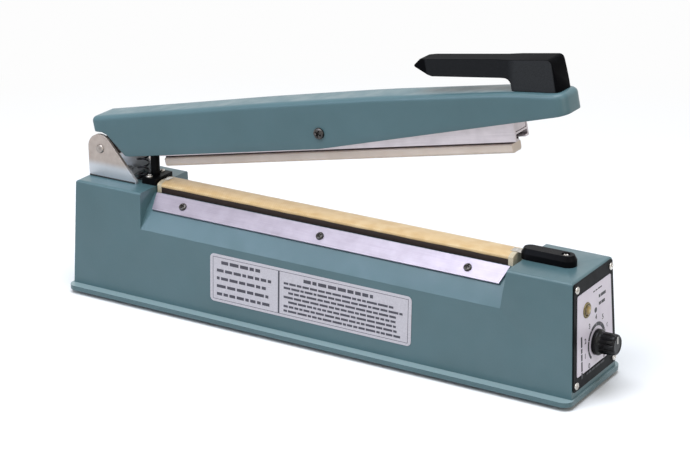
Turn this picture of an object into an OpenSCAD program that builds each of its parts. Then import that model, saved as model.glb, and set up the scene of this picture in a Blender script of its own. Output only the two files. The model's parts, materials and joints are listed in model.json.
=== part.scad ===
// Hand impulse heat sealer: cast base with a sealing strip, sprung arm with a self-aligning jaw.
// Millimetres. +X runs from the hinge to the timer panel, -Y is the side with the long label.

/* [Base housing] */
// Length of the sealing strip
seal_len = 302; // [290:1:314]
// From the rear end of the base to the start of the strip
rear_block_len = 67; // [66:0.5:74]
// From the end of the strip to the front end of the base
front_block_len = 61; // [56:0.5:72]
// Width of the base over its flange
base_w = 83; // [80:0.5:92]
// Corner radius of the flange in plan
flange_r = 7; // [4:0.5:10]
// Thickness of the flange
flange_t = 3.6; // [3:0.2:5]
// Height of the housing above the flange's underside
housing_h = 86.2; // [84:0.2:90]
// Width of the housing where it meets the flange
housing_w_low = 68.4; // [67:0.2:70]
// Width of the housing across its top
housing_w_top = 60.8; // [59:0.2:63]
// Setback of the end walls from the flange's ends, at the flange
end_setback_low = 1.6; // [1:0.1:3]
// Setback of the end walls from the flange's ends, at the top
end_setback_top = 5.4; // [4:0.1:7]
// Thickness of the cast walls
wall = 3; // [2.4:0.1:3.4]
// Radius on the housing's upper edges
edge_r = 2; // [1:0.25:3]

/* [Seal seat] */
// Half width of the flat ridge that carries the seal bar
ridge_y = 12.3; // [12:0.1:13]
// Depth of the ridge below the housing's top
ridge_drop = 5.2; // [4.8:0.1:5.8]
// Half width of the seat where shoulder and clamp facet meet
facet_low_y = 23.7; // [22:0.1:25]
// Fall of a clamp facet from the ridge to that line
facet_drop = 9.9; // [9:0.1:11]
// Fall of the sloping shoulder below that line
shoulder_drop = 13.1; // [11:0.1:15]
// How far the seat's front end face leans outwards from bottom to top
notch_lean = 4; // [2:0.5:4.5]

/* [Seal bar] */
// Width of the seal bar
bar_w = 19.2; // [16:0.2:20]
// Height of the bar's shoulders above the ridge
bar_side_h = 6; // [5:0.1:7]
// Rise of the bar's crown above its shoulders
bar_crown_h = 2; // [1:0.1:2.5]
// Width of the heating band
element_w = 5; // [3:0.5:8]
// Thickness of the heating band
element_t = 0.3; // [0.2:0.05:0.4]
// Thickness of the release cloth
cloth_t = 0.3; // [0.2:0.05:0.4]
// Thickness of the clamp plates
clamp_t = 1.5; // [1:0.1:2]
// Distance between clamp screws
clamp_pitch = 121; // [100:1:126]
// Radius of a clamp screw's shank
clamp_screw_r = 1.5; // [1.2:0.1:2]

/* [Hinge] */
// Pivot from the rear end of the base
pivot_x = 18.1; // [17:0.1:20]
// Height of the pivot above the housing's top
pivot_rise = 22.7; // [22:0.1:24]
// Radius of the hinge pin
pin_r = 2.5; // [2:0.1:3.2]
// Running clearance on the radius of every pivot
run_clear = 0.05; // [0.02:0.01:0.09]
// Radius of the bracket's ears round the pivot
ear_r = 11.4; // [10:0.1:11.6]
// Thickness of the bracket's sheet
ear_t = 2.6; // [2:0.1:3]
// Width inside the bracket's ears
ear_gap_w = 25.2; // [25:0.1:25.4]
// Foot of the ears' sloping front edge, from the rear end of the base
ear_foot_x = 51; // [48:0.5:53]
// Angle by which the arm stands open at rest
arm_open = 11.5; // [8:0.5:14]

/* [Arm] */
// Width of the arm cover
arm_w = 28; // [27.6:0.1:28.4]
// Thickness of the arm cover's sheet
arm_t = 1.6; // [1.4:0.1:1.7]
// Radius on the arm cover's upper edges
arm_edge_r = 4; // [2.5:0.25:4.5]
// Length of the arm beyond the end of the strip
arm_nose_len = 49; // [44:0.5:54]
// Depth of the side walls below the pivot
arm_skirt = 7.5; // [6:0.1:8]
// Thickness of the inner bracket's sheet
tongue_t = 1.5; // [1.2:0.1:1.8]
// Radius of the inner bracket's eye round the pivot
tongue_r = 9; // [8:0.1:9.5]

/* [Jaw] */
// Width of the jaw channel
jaw_w = 19; // [17:0.2:20]
// Thickness of the jaw channel's walls
jaw_t = 1.6; // [1.2:0.1:2]
// Depth of the jaw channel's underside below the pivot line
jaw_low = 9.3; // [8.8:0.1:9.8]
// Height of the jaw channel's flanges above the pivot line
jaw_high = 9; // [7:0.1:11]
// Width of the silicone strip
rubber_w = 13; // [10:0.2:14]
// Space left over the strip when the arm is closed, which the silicone's squash takes up
jaw_gap = 0.9; // [0.85:0.05:1.4]
// Radius of the jaw's pivot screw
jaw_pin_r = 2.5; // [2:0.1:3]
// Height of the jaw's pivot above the arm's pivot line
jaw_pin_z = 4; // [3:0.1:5]

/* [Handle] */
// Length of the handle's block along the arm
grip_block_len = 35.5; // [26:0.5:38]
// Distance from the block's front to the tip of the arm
grip_nose_gap = 4.5; // [4:0.5:13]
// Width of the handle's block
grip_w = 20; // [18:0.5:21]
// Reach of the lever behind the block
grip_reach = 78; // [60:1:84]
// Gap for the fingers between lever and arm, at the block
finger_gap = 8.5; // [8:0.5:12]
// Height of the lever's section at the block
lever_h = 11; // [10:0.5:13]

/* [Panel] */
// Thickness of the panel plate
panel_t = 1; // [0.8:0.1:1.4]
// Margin of the panel plate inside the housing's edges
panel_margin = 0.9; // [0.6:0.1:2]
// Height of the panel plate's lower edge above the flange
panel_low = 4.6; // [4:0.1:7]
// Margin of the pale label inside the panel plate, at the sides
label_side = 4.4; // [4:0.1:6]
// Margin of the pale label inside the panel plate, above and below
label_end = 9.5; // [9:0.1:12]
// Height of the knob's axis above the flange, along the panel
knob_up = 30; // [28:0.5:32]
// Sideways place of the knob's axis
knob_y = 2; // [0:0.5:3]
// Radius of the knob at its foot
knob_foot_r = 9.2; // [8:0.1:10]
// Radius of the knob at its tip
knob_tip_r = 7.4; // [6.5:0.1:8]
// Length of the knob
knob_len = 16; // [14:0.5:18]
// Radius of the knob's shaft
shaft_r = 3; // [2.8:0.1:3.2]
// Distance of the lamp below the housing's top, along the panel
lamp_drop = 24.6; // [22.6:0.5:26.6]
// Sideways place of the lamp
lamp_y = -12; // [-13:0.5:-10]
// Radius of the lamp's lens
lamp_r = 4; // [3:0.1:4.5]

/* [Long label] */
// Start of the long label from the rear end of the base
side_label_x = 130; // [110:1:140]
// Length of the long label
side_label_len = 172; // [160:1:180]
// Height of the long label
side_label_h = 37; // [30:1:38]
// Height of the long label's lower edge above the flange
side_label_z = 11.5; // [9:0.5:13]

/* [Terminals] */
// Length of the front terminal cap
cap_len = 41.5; // [36:0.5:44]
// Width of the front terminal cap
cap_w = 13; // [11:0.5:15]
// Height of the front terminal cap
cap_h = 7.8; // [7:0.1:9]

/* [Return spring and push rod] */
// Return spring from the rear end of the base
spring_x = 47; // [46.6:0.1:47.6]
// Outer radius of the return spring
spring_r = 5.2; // [4.5:0.1:5.4]
// Radius of the spring's wire
spring_wire_r = 0.7; // [0.5:0.05:0.9]
// Push rod from the rear end of the base
rod_x = 58.3; // [57.8:0.1:58.5]
// Radius of the push rod
rod_r = 3.5; // [3:0.1:3.6]
// Radius of the collar at the push rod's lower end
collar_r = 6; // [5:0.1:6.5]

/* [Inside] */
// Height of the feet below the flange
foot_h = 3; // [2.4:0.1:4]
// Radius of the feet
foot_r = 8; // [7:0.5:9]
// Distance of the feet from the ends of the base
foot_inset = 34; // [28:1:40]
// Sideways place of the feet
foot_y = 22; // [18:0.5:24]
// Thickness of the bottom plate
plate_t = 1.2; // [1:0.1:1.6]
// Length of the transformer's core
core_len = 62; // [56:1:66]
// Width of the transformer's core
core_w = 36; // [32:1:38]
// Height of the transformer's core
core_h = 50; // [46:1:54]
// Transformer's centre from the rear end of the base
core_x = 262; // [240:1:275]
// Radius of the cord's way through the inlet grommet
cord_r = 3.6; // [3:0.1:4]

/* [Hidden] */
$fn = 48;
eps = 0.01;
fit = 0.05;

knob_foot_gap = 0.6;
knob_chamfer = 1.2;
base_len = rear_block_len + seal_len + front_block_len;
seal_start = rear_block_len;
seal_end = seal_start + seal_len;
seal_mid = (seal_start + seal_end) / 2;
seat_x0 = seal_start - 1;
seat_x1 = seal_end + 2;
ridge_z = housing_h - ridge_drop;
facet_low_z = ridge_z - facet_drop;
notch_z = facet_low_z - shoulder_drop;
pivot_z = housing_h + pivot_rise;
lamp_up = housing_h - flange_t - lamp_drop;
end_draft = atan((end_setback_top - end_setback_low) / (housing_h - flange_t));
side_draft = atan((housing_w_low - housing_w_top) / 2 / (housing_h - flange_t));
front_low_x = base_len - end_setback_low;
rear_low_x = end_setback_low;

// Half width and end faces of the housing at height z
function half_w(z) = housing_w_low / 2 - (z - flange_t) * tan(side_draft);
function front_x(z) = front_low_x - (z - flange_t) * tan(end_draft);
function rear_x(z) = rear_low_x + (z - flange_t) * tan(end_draft);

// The part's origin is the middle of its footprint, knob included, on the bench
knob_tip_x = front_low_x - knob_up * sin(end_draft) + (panel_t + knob_foot_gap + knob_len) * cos(end_draft)
    + (knob_tip_r - knob_chamfer) * sin(end_draft);
origin_x = knob_tip_x / 2;

bar_top = ridge_z + bar_side_h;
element_z = bar_top + bar_crown_h;
cloth_gap = 0.15;
crown_z = element_z + element_t + cloth_gap + cloth_t;
jaw_pin_x = (seal_start + seal_end) / 2 + 2 - pivot_x;
jaw_back = seal_start + 2 - pivot_x;
jaw_front = seal_end + 6 - pivot_x;
rubber_back = jaw_back + 1.5;
rubber_front = jaw_front - 5.5;
rubber_low = crown_z - pivot_z + jaw_gap;
arm_tip = seal_end + arm_nose_len - pivot_x;
arm_in_w = arm_w - 2 * arm_t;
tongue_w = ear_gap_w - 0.6;
striker_z = -3;
striker_x0 = 24;
tongue_len = 48;
rod_dx = rod_x - pivot_x;
rod_top = pivot_z + rod_dx * tan(arm_open) - (rod_r - striker_z) / cos(arm_open) + rod_r - 0.3;
rod_len = 59;
arm_back = -4.7;
nose_fall = 40;
nose_bevel = 2.4;
nose_slope = 0.1;
cut_foot_x = 22;
bracket_web_x = 38;
cap_x0 = seal_end + 2;
cap_screw_x = cap_x0 + cap_len - 8;
front_post_x = seal_end + 12.5;
rear_post_x = seat_x0 - 1.7;
rear_cap_x0 = rod_x - 4.8;
rear_cap_w = 22;
rear_cap_h = 5.2;
rear_cap_screw_y = 7.8;
terminal_h = 2.6;
post_r = 1.3;
cap_screw_r = 1.25;
bracket_screw_r = 2;
panel_screw_r = 1.5;
plate_screw_r = 1.5;
plate_screw_len = 9;
plate_margin = 4;
plate_len = base_len - 2 * plate_margin;
plate_w = base_w - 2 * plate_margin;
thread_r = 4.5;
label_t = 0.4;
cord_z = 22;
grommet_r = 7;
spring_seat_z = housing_h - 1.5;
spring_dx = spring_x - spring_r - pivot_x;
spring_top = pivot_z + spring_dx * tan(arm_open) + striker_z / cos(arm_open) - 0.3;
nut_r = 7;
pointer_w = 1.1;
shaft_back = knob_foot_gap + panel_t + 0.8;
switch_top = rod_top - rod_len - (rod_dx * PI / 180) * arm_open - 0.3;

// Height of the arm's top line over the pivot line, at x along the arm
function arm_top(x) = lookup(x, [[arm_back, 24.8], [150, 27.5], [250, 28], [arm_tip - nose_fall, 26],
    [arm_tip - nose_bevel, 22.3]]);
// Height of the arm's lower edge at x along the arm
function arm_low(x) = lookup(x, [[22, -arm_skirt], [200, -arm_skirt], [arm_tip, 8]]);

// Corner of an outline replaced by an arc of radius r, as a list of points
function arc_corner(a, p, b, r, n) =
    let (u = (a - p) / norm(a - p), v = (b - p) / norm(b - p),
         half = acos(max(-1, min(1, u * v))) / 2,
         c = p + (u + v) / norm(u + v) * r / sin(half),
         s = p + u * r / tan(half) - c, e = p + v * r / tan(half) - c,
         a0 = atan2(s[1], s[0]), turn = atan2(s[0] * e[1] - s[1] * e[0], s * e))
    r <= 0 ? [p] : [for (i = [0 : n]) c + r * [cos(a0 + turn * i / n), sin(a0 + turn * i / n)]];
// Outline with corner i rounded to radius radii[i]
function rounded(pts, radii, n = 5) =
    [for (i = [0 : len(pts) - 1])
        each arc_corner(pts[(i + len(pts) - 1) % len(pts)], pts[i], pts[(i + 1) % len(pts)], radii[i], n)];
// Counterclockwise outline with every side moved inwards by d
function inset(pts, d) =
    [for (i = [0 : len(pts) - 1])
        let (a = pts[(i + len(pts) - 1) % len(pts)], p = pts[i], b = pts[(i + 1) % len(pts)],
             n1 = [a[1] - p[1], p[0] - a[0]] / norm(p - a), n2 = [p[1] - b[1], b[0] - p[0]] / norm(b - p))
        p + (n1 + n2) / (1 + n1 * n2) * d];
// Upper half of an ellipse about [0, z], from right to left, and its right quarter
function crown(w, z, rise, n = 12) = [for (i = [0 : n]) [w * cos(180 * i / n), z + rise * sin(180 * i / n)]];
function crown_half(w, z, rise, n = 6) =
    [for (i = [0 : n]) [w * cos(90 * i / n), z + rise * sin(90 * i / n)]];
// Open path thickened by t on its left side, as an outline
function ribbon(path, t) =
    let (n = len(path),
         nrm = [for (i = [0 : n - 2]) let (d = path[i + 1] - path[i]) [-d[1], d[0]] / norm(d)],
         off = [for (i = [0 : n - 1])
             let (n1 = nrm[max(0, i - 1)], n2 = nrm[min(n - 2, i)]) path[i] + (n1 + n2) / (1 + n1 * n2) * t])
    concat(path, [for (i = [n - 1 : -1 : 0]) off[i]]);

// Outline drawn in Y and Z, carried from x0 to x1
module along_x(x0, x1) translate([x0, 0, 0]) rotate([90, 0, 90]) linear_extrude(x1 - x0) children();
// Outline drawn in X and Z, carried across the middle plane over width w
module along_y(w) rotate([90, 0, 0]) linear_extrude(w, center = true) children();
module across(r, w) rotate([90, 0, 0]) cylinder(r = r, h = w, center = true);
module mirror_y() { children(); mirror([0, 1, 0]) children(); }
module round_rect(x, y, r) {
    square([x - 2 * r, y], center = true);
    square([x, y - 2 * r], center = true);
    for (sx = [-1, 1], sy = [-1, 1]) translate([sx * (x / 2 - r), sy * (y / 2 - r)]) circle(r);
}

// Frames: the base, the arm about its pivot, the front wall, the near side wall and a clamp facet
module base_frame() translate([-origin_x, 0, foot_h]) children();
module arm_frame() base_frame() translate([pivot_x, 0, pivot_z]) rotate([0, -arm_open, 0]) children();
module front_frame() base_frame() translate([front_low_x, 0, flange_t]) rotate([0, -end_draft, 0]) children();
module on_front(y, z) translate([0, y, z]) rotate([0, 90, 0]) children();
module near_side_frame()
    base_frame() translate([0, -housing_w_low / 2, flange_t]) rotate([-side_draft, 0, 0]) children();
facet_tilt = atan2(ridge_z - facet_low_z, facet_low_y - ridge_y);
facet_len = norm([ridge_z - facet_low_z, facet_low_y - ridge_y]);
// Local z points out of the near facet, local y runs up it from its lower edge
module facet_frame() translate([0, -facet_low_y, facet_low_z]) rotate([facet_tilt, 0, 0]) children();

// Pan-head screw along +Z: head above z = 0, shank below, with a cross recess
module pan_screw(r, shank, head_r, head_h) {
    difference() {
        union() {
            translate([0, 0, -shank]) cylinder(r = r, h = shank + eps);
            cylinder(r = head_r, h = head_h * 0.45);
            translate([0, 0, head_h * 0.45 - eps])
                cylinder(r1 = head_r, r2 = head_r * 0.6, h = head_h * 0.55);
        }
        for (a = [0, 90]) rotate([0, 0, a + 20]) translate([-head_r * 0.62, -head_r * 0.11, head_h * 0.45])
            cube([head_r * 1.24, head_r * 0.22, head_h]);
    }
}

// Outlines of the housing: across a block, across the seat, and along the length
block_section = [[-housing_w_low / 2, flange_t], [housing_w_low / 2, flange_t],
    [housing_w_top / 2, housing_h], [-housing_w_top / 2, housing_h]];
seat_section = [[-housing_w_low / 2, flange_t], [housing_w_low / 2, flange_t], [half_w(notch_z), notch_z],
    [facet_low_y, facet_low_z], [ridge_y, ridge_z], [-ridge_y, ridge_z], [-facet_low_y, facet_low_z],
    [-half_w(notch_z), notch_z]];
length_section = [[rear_low_x, flange_t], [front_low_x, flange_t],
    [front_x(housing_h), housing_h], [rear_x(housing_h), housing_h]];

// Everything above the seat's surfaces, between its end faces
module above_seat() {
    far = base_w;
    intersection() {
        along_x(seat_x0 - 1, seat_x1 + notch_lean + 1)
            polygon([[-far, notch_z], [-half_w(notch_z), notch_z], [-facet_low_y, facet_low_z],
                [-ridge_y, ridge_z], [ridge_y, ridge_z], [facet_low_y, facet_low_z],
                [half_w(notch_z), notch_z], [far, notch_z], [far, 2 * housing_h], [-far, 2 * housing_h]]);
        along_y(2 * far)
            polygon([[seat_x0, notch_z - 1], [seat_x1, notch_z - 1], [seat_x1 + notch_lean, housing_h + eps],
                [seat_x0, housing_h + eps]]);
    }
}
plate_post_r = 4;
plate_post_h = 12;
plate_post_x = 14;
module plate_screw_spots() for (x = [plate_post_x, base_len / 2, base_len - plate_post_x], y = [-1, 1])
    translate([x, y * (housing_w_low / 2 - wall - plate_post_r + 0.6), 0]) children();
module foot_spots() for (x = [foot_inset, base_len - foot_inset], y = [-1, 1])
    translate([x, y * foot_y, 0]) children();
module bracket_screw_spots() for (x = [pivot_x - 5, pivot_x + 9], y = [-1, 1])
    translate([x, y * 7.5, 0]) children();
module panel_screw_spots() for (z = [panel_low + 4.2, housing_h - flange_t - 5.6], y = [-1, 1])
    translate([0, y * (half_w(flange_t + z) - panel_margin - 3.6), z]) rotate([0, 90, 0]) children();
module clamp_screw_spots() for (i = [-1 : 1])
    translate([seal_mid + i * clamp_pitch, facet_len / 2, 0]) children();

module base_housing() color("#6f8f97") base_frame() {
    rod_boss_len = 14;
    difference() {
        union() {
            difference() {
                intersection() {
                    along_x(0, base_len) polygon(rounded(block_section, [0, 0, edge_r, edge_r]));
                    along_y(base_w) polygon(rounded(length_section, [0, 0, edge_r, edge_r]));
                }
                above_seat();
            }
            translate([base_len / 2, 0, 0]) linear_extrude(flange_t) round_rect(base_len, base_w, flange_r);
        }
        // hollow under the seat, and the higher hollows in both blocks
        intersection() {
            along_x(0, base_len) polygon(concat([[-half_w(0) + wall, -1], [half_w(0) - wall, -1]],
                [for (i = [2 : 7]) inset(seat_section, wall)[i]]));
            along_y(base_w) polygon([[rear_x(-2) + wall, -2], [front_x(-2) - wall, -2],
                [front_x(housing_h) - wall, housing_h], [rear_x(housing_h) + wall, housing_h]]);
        }
        for (span = [[rear_x(housing_h) + wall, seat_x0 - wall],
                [seat_x1 + notch_lean + wall, front_x(housing_h) - wall]])
            along_x(span[0], span[1]) polygon([[-half_w(0) + wall, flange_t], [half_w(0) - wall, flange_t],
                [half_w(housing_h) - wall, housing_h - wall], [-half_w(housing_h) + wall, housing_h - wall]]);
        // rebate for the bottom plate
        translate([base_len / 2, 0, -1]) linear_extrude(plate_t + 1)
            round_rect(plate_len + 2 * fit, plate_w + 2 * fit, flange_r - plate_margin + 1);
        // openings in the top: spring seat, bracket screws, push rod, terminals and cap screws
        translate([spring_x, 0, spring_seat_z]) cylinder(r = spring_r + 0.4, h = 9);
        translate([0, 0, housing_h - wall - 1]) {
            bracket_screw_spots() cylinder(r = bracket_screw_r + fit, h = wall + 2);
            translate([rod_x, 0, 0]) cylinder(r = rod_r + run_clear, h = wall + 2);
            for (x = [rear_post_x, front_post_x])
                translate([x, 0, 0]) cylinder(r = post_r + fit, h = wall + 2);
            translate([cap_screw_x, 0, 0]) cylinder(r = cap_screw_r + fit, h = wall + 2);
            mirror_y() translate([rod_x, rear_cap_screw_y, 0]) cylinder(r = cap_screw_r + fit, h = wall + 2);
        }
        // clamp screws
        mirror_y() facet_frame() clamp_screw_spots()
            translate([0, 0, -wall - 2]) cylinder(r = clamp_screw_r + fit, h = wall + 4);
        // openings in the front wall: panel screws, lamp and timer shaft
        translate([front_low_x, 0, flange_t]) rotate([0, -end_draft, 0]) {
            panel_screw_spots() translate([0, 0, -wall - 2]) cylinder(r = panel_screw_r + fit, h = wall + 4);
            on_front(lamp_y, lamp_up) translate([0, 0, -wall - 2]) cylinder(r = lamp_r + fit, h = wall + 4);
            on_front(knob_y, knob_up) translate([0, 0, -wall - 2]) cylinder(r = thread_r + fit, h = wall + 4);
        }
        // cord inlet in the rear wall
        translate([rear_low_x - 2, 0, cord_z]) rotate([0, 90, 0]) cylinder(r = grommet_r + fit, h = wall + 6);
    }
    // guide for the push rod, and posts for the bottom plate's screws
    translate([rod_x, 0, housing_h - wall - rod_boss_len]) difference() {
        cylinder(r = rod_r + 2.6, h = rod_boss_len + eps);
        translate([0, 0, -1]) cylinder(r = rod_r + run_clear, h = rod_boss_len + 2);
    }
    plate_screw_spots() difference() {
        translate([0, 0, plate_t]) cylinder(r = plate_post_r, h = plate_post_h);
        translate([0, 0, -eps]) cylinder(r = plate_screw_r + fit, h = plate_screw_len + 0.2);
    }
}

module bottom_plate() color("#3a3d40") base_frame() difference() {
    translate([base_len / 2, 0, 0]) linear_extrude(plate_t)
        round_rect(plate_len, plate_w, flange_r - plate_margin + 1);
    plate_screw_spots() translate([0, 0, -1]) cylinder(r = plate_screw_r + fit, h = plate_t + 2);
    foot_spots() translate([0, 0, -1]) cylinder(r = foot_screw_r + fit, h = plate_t + 2);
    strap_screw_spots() translate([0, 0, -1]) cylinder(r = strap_screw_r + fit, h = plate_t + 2);
    board_post_spots() translate([0, 0, -1]) cylinder(r = 1.2 + fit, h = plate_t + 2);
    switch_screw_spots() translate([0, 0, -1]) cylinder(r = 1.2 + fit, h = plate_t + 2);
}
module plate_screws() color("#b9bcc0") base_frame()
    plate_screw_spots() rotate([180, 0, 0]) pan_screw(plate_screw_r, plate_screw_len, 2.8, 1.8);

foot_screw_r = 1.5;
foot_recess_r = 3.4;
foot_recess_h = 1.6;
module rubber_feet() color("#1d1d1f") base_frame() foot_spots() translate([0, 0, -foot_h]) difference() {
    cylinder(r1 = foot_r - 0.6, r2 = foot_r, h = foot_h);
    translate([0, 0, -1]) cylinder(r = foot_screw_r + fit, h = foot_h + 2);
    translate([0, 0, -1]) cylinder(r = foot_recess_r, h = foot_recess_h + 1);
}
module foot_screws() color("#b9bcc0") base_frame() foot_spots() {
    translate([0, 0, foot_recess_h - foot_h]) rotate([180, 0, 0])
        pan_screw(foot_screw_r, foot_h - foot_recess_h + plate_t + 3, 3, 1.4);
    translate([0, 0, plate_t]) difference() {
        cylinder(r = 3.1, h = 2.4, $fn = 6);
        translate([0, 0, -1]) cylinder(r = foot_screw_r + fit, h = 5);
    }
}

// Outline of the panel plate in Y and Z over the front wall, with margin m at the sides and e at the ends
function panel_outline(m, e) =
    let (z0 = panel_low + e, z1 = housing_h - flange_t - 1.1 - e,
         y0 = half_w(flange_t + z0) - panel_margin - m, y1 = half_w(flange_t + z1) - panel_margin - m)
    [[-y0, z0], [y0, z0], [y1, z1], [-y1, z1]];
module front_panel() color("#17181a") front_frame() difference() {
    along_x(0, panel_t) polygon(rounded(panel_outline(0, 0), [2, 2, 2, 2]));
    panel_screw_spots() translate([0, 0, -1]) cylinder(r = panel_screw_r + fit, h = panel_t + 2);
    on_front(lamp_y, lamp_up) translate([0, 0, -1]) cylinder(r = lamp_r + fit, h = panel_t + 2);
    on_front(knob_y, knob_up) translate([0, 0, -1]) cylinder(r = thread_r + fit, h = panel_t + 2);
}
module panel_label() color("#ece9f4") front_frame() difference() {
    along_x(panel_t, panel_t + label_t)
        polygon(rounded(panel_outline(label_side, label_end), [1.5, 1.5, 1.5, 1.5]));
    on_front(lamp_y, lamp_up) cylinder(r = lamp_r + bezel_w + 0.1, h = 3);
    on_front(knob_y, knob_up) cylinder(r = nut_r + 0.4, h = 3);
}
module panel_screws() color("#c9ccd0") front_frame()
    panel_screw_spots() translate([0, 0, panel_t]) pan_screw(panel_screw_r, panel_t + wall + 2, 2.7, 1.5);

bezel_w = 1.5;
bezel_h = 1.3;
lamp_body_len = 9;
module lamp_bezel() color("#8d8f93") front_frame() on_front(lamp_y, lamp_up)
    translate([0, 0, panel_t]) difference() {
        cylinder(r1 = lamp_r + bezel_w, r2 = lamp_r + bezel_w - 0.4, h = bezel_h);
        translate([0, 0, -1]) cylinder(r = lamp_r + fit, h = bezel_h + 2);
    }
module lamp_lens() color("#c77a22") front_frame() on_front(lamp_y, lamp_up)
    translate([0, 0, -wall - lamp_body_len]) {
    body_len = wall + lamp_body_len + panel_t + bezel_h;
    cylinder(r = lamp_r, h = body_len);
    translate([0, 0, body_len - eps]) intersection() {
        translate([0, 0, 1.4 - lamp_r * 1.6]) sphere(r = lamp_r * 1.6);
        cylinder(r = lamp_r, h = 3);
    }
}
timer_body_len = 12;
timer_body_r = 8.5;
module timer_control() color("#9a8f6a") front_frame() on_front(knob_y, knob_up) {
    translate([0, 0, -wall - timer_body_len]) cylinder(r = timer_body_r, h = timer_body_len);
    difference() {
        translate([0, 0, -wall - eps]) cylinder(r = thread_r, h = wall + panel_t + 3.2);
        translate([0, 0, -1]) cylinder(r = shaft_r + run_clear, h = 20);
    }
}
module timer_nut() color("#b9bcc0") front_frame() on_front(knob_y, knob_up)
    translate([0, 0, panel_t]) difference() {
        cylinder(r = nut_r, h = 2.2, $fn = 6);
        translate([0, 0, -1]) cylinder(r = thread_r + fit, h = 5);
    }
knob_hollow = 3.4;
shaft_depth = 10;
grub_r = 1.25;
grub_up = 7.4;
// Local z runs out of the knob's foot, local x points down the panel
module knob_frame()
    front_frame() on_front(knob_y, knob_up) translate([0, 0, panel_t + knob_foot_gap]) children();
module timer_knob() color("#121214") knob_frame() difference() {
    rotate_extrude() polygon([[0, 0], [knob_foot_r, 0], [knob_foot_r, 3], [knob_foot_r - 0.9, 3.8],
        [knob_tip_r + 0.4, 4.6], [knob_tip_r, knob_len - knob_chamfer], [knob_tip_r - knob_chamfer, knob_len],
        [0, knob_len]]);
    translate([0, 0, -1]) cylinder(r = nut_r + 0.8, h = 1 + knob_hollow);
    translate([0, 0, -1]) cylinder(r = shaft_r + fit, h = 1 + shaft_depth);
    for (i = [0 : 11]) rotate([0, 0, i * 30 + 15])
        translate([knob_tip_r + 1.15, 0, 4.7]) cylinder(r = 1.5, h = knob_len);
    translate([-(knob_tip_r - 1.4), -pointer_w / 2, knob_len - 0.6]) cube([knob_tip_r - 2.4, pointer_w, 2]);
    translate([0, 0, grub_up]) rotate([90, 0, 0]) cylinder(r = grub_r + fit, h = 2 * knob_tip_r);
}
module timer_shaft() color("#b9bcc0") knob_frame()
    translate([0, 0, -shaft_back]) cylinder(r = shaft_r, h = shaft_depth - 0.1 + shaft_back);
module knob_pointer() color("#e9e9ea") knob_frame()
    translate([-(knob_tip_r - 1.4), -pointer_w / 2, knob_len - 0.6]) cube([knob_tip_r - 2.4, pointer_w, 0.7]);
module knob_grub_screw() color("#b9bcc0") knob_frame()
    translate([0, 0, grub_up]) rotate([90, 0, 0]) translate([0, 0, shaft_r + fit]) difference() {
        cylinder(r = grub_r, h = 3);
        translate([0, 0, 2]) cylinder(r = 0.7, h = 2, $fn = 6);
    }

module side_label() color("#d6cfd6") near_side_frame() translate([side_label_x, 0, side_label_z])
    rotate([90, 0, 0]) linear_extrude(label_t)
        translate([side_label_len / 2, side_label_h / 2]) round_rect(side_label_len, side_label_h, 3.5);

module seal_bar() color("#4a3326") base_frame() along_x(seal_start, seal_end) polygon(concat(
    [[-bar_w / 2, ridge_z], [bar_w / 2, ridge_z]], crown(bar_w / 2, bar_top, bar_crown_h)));

// Way of the heating band: off the rear terminal, over the crown and onto the front terminal
module heating_element() color("#9fa1a5") base_frame() along_y(element_w) polygon(ribbon([
    [rear_post_x - 1.4, housing_h + terminal_h], [rear_post_x + 1.6, housing_h + terminal_h],
    [seal_start - 0.3, element_z], [seal_end + 0.3, element_z],
    [front_post_x - 3, housing_h + terminal_h], [front_post_x + 3, housing_h + terminal_h]], element_t));

// Release cloth: over the crown, down the bar's sides and out under the clamp plates
module release_cloth() color("#c9a25e") base_frame() {
    y0 = bar_w / 2 + cloth_gap;
    reach = facet_len * 0.8;
    lift = 0.02;
    half = concat(
        [[ridge_y + reach * cos(facet_tilt), ridge_z - reach * sin(facet_tilt) + lift],
         [ridge_y, ridge_z + lift], [y0, ridge_z + lift]],
        crown_half(y0, bar_top, bar_crown_h + element_t + cloth_gap));
    path = concat(half, [for (i = [len(half) - 2 : -1 : 0]) [-half[i][0], half[i][1]]]);
    difference() {
        along_x(seal_start + 0.2, seal_end - 0.2)
            polygon(ribbon([for (i = [len(path) - 1 : -1 : 0]) path[i]], cloth_t));
        mirror_y() facet_frame() clamp_screw_spots()
            translate([0, 0, -1]) cylinder(r = clamp_screw_r + fit, h = cloth_t + 2);
    }
}

clamp_seat = cloth_t + 0.12;
clamp_w = facet_len - 0.6;
module clamp_plate() facet_frame() difference() {
    translate([0, 0, clamp_seat]) linear_extrude(clamp_t) polygon([
        [seal_start + 5, 0.6], [seal_end - 3, 0.6],
        [seal_end, clamp_w + 0.6], [seal_start + 2, clamp_w + 0.6]]);
    clamp_screw_spots() translate([0, 0, -1]) cylinder(r = clamp_screw_r + fit, h = 6);
}
module clamp_near() color("#d8d6e2") base_frame() clamp_plate();
module clamp_far() color("#d8d6e2") base_frame() mirror([0, 1, 0]) clamp_plate();
module clamp_screws() color("#c4c6ca") base_frame() mirror_y() facet_frame() clamp_screw_spots()
    translate([0, 0, clamp_seat + clamp_t]) pan_screw(clamp_screw_r, clamp_t + wall + 1.5, 3, 1.7);

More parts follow.
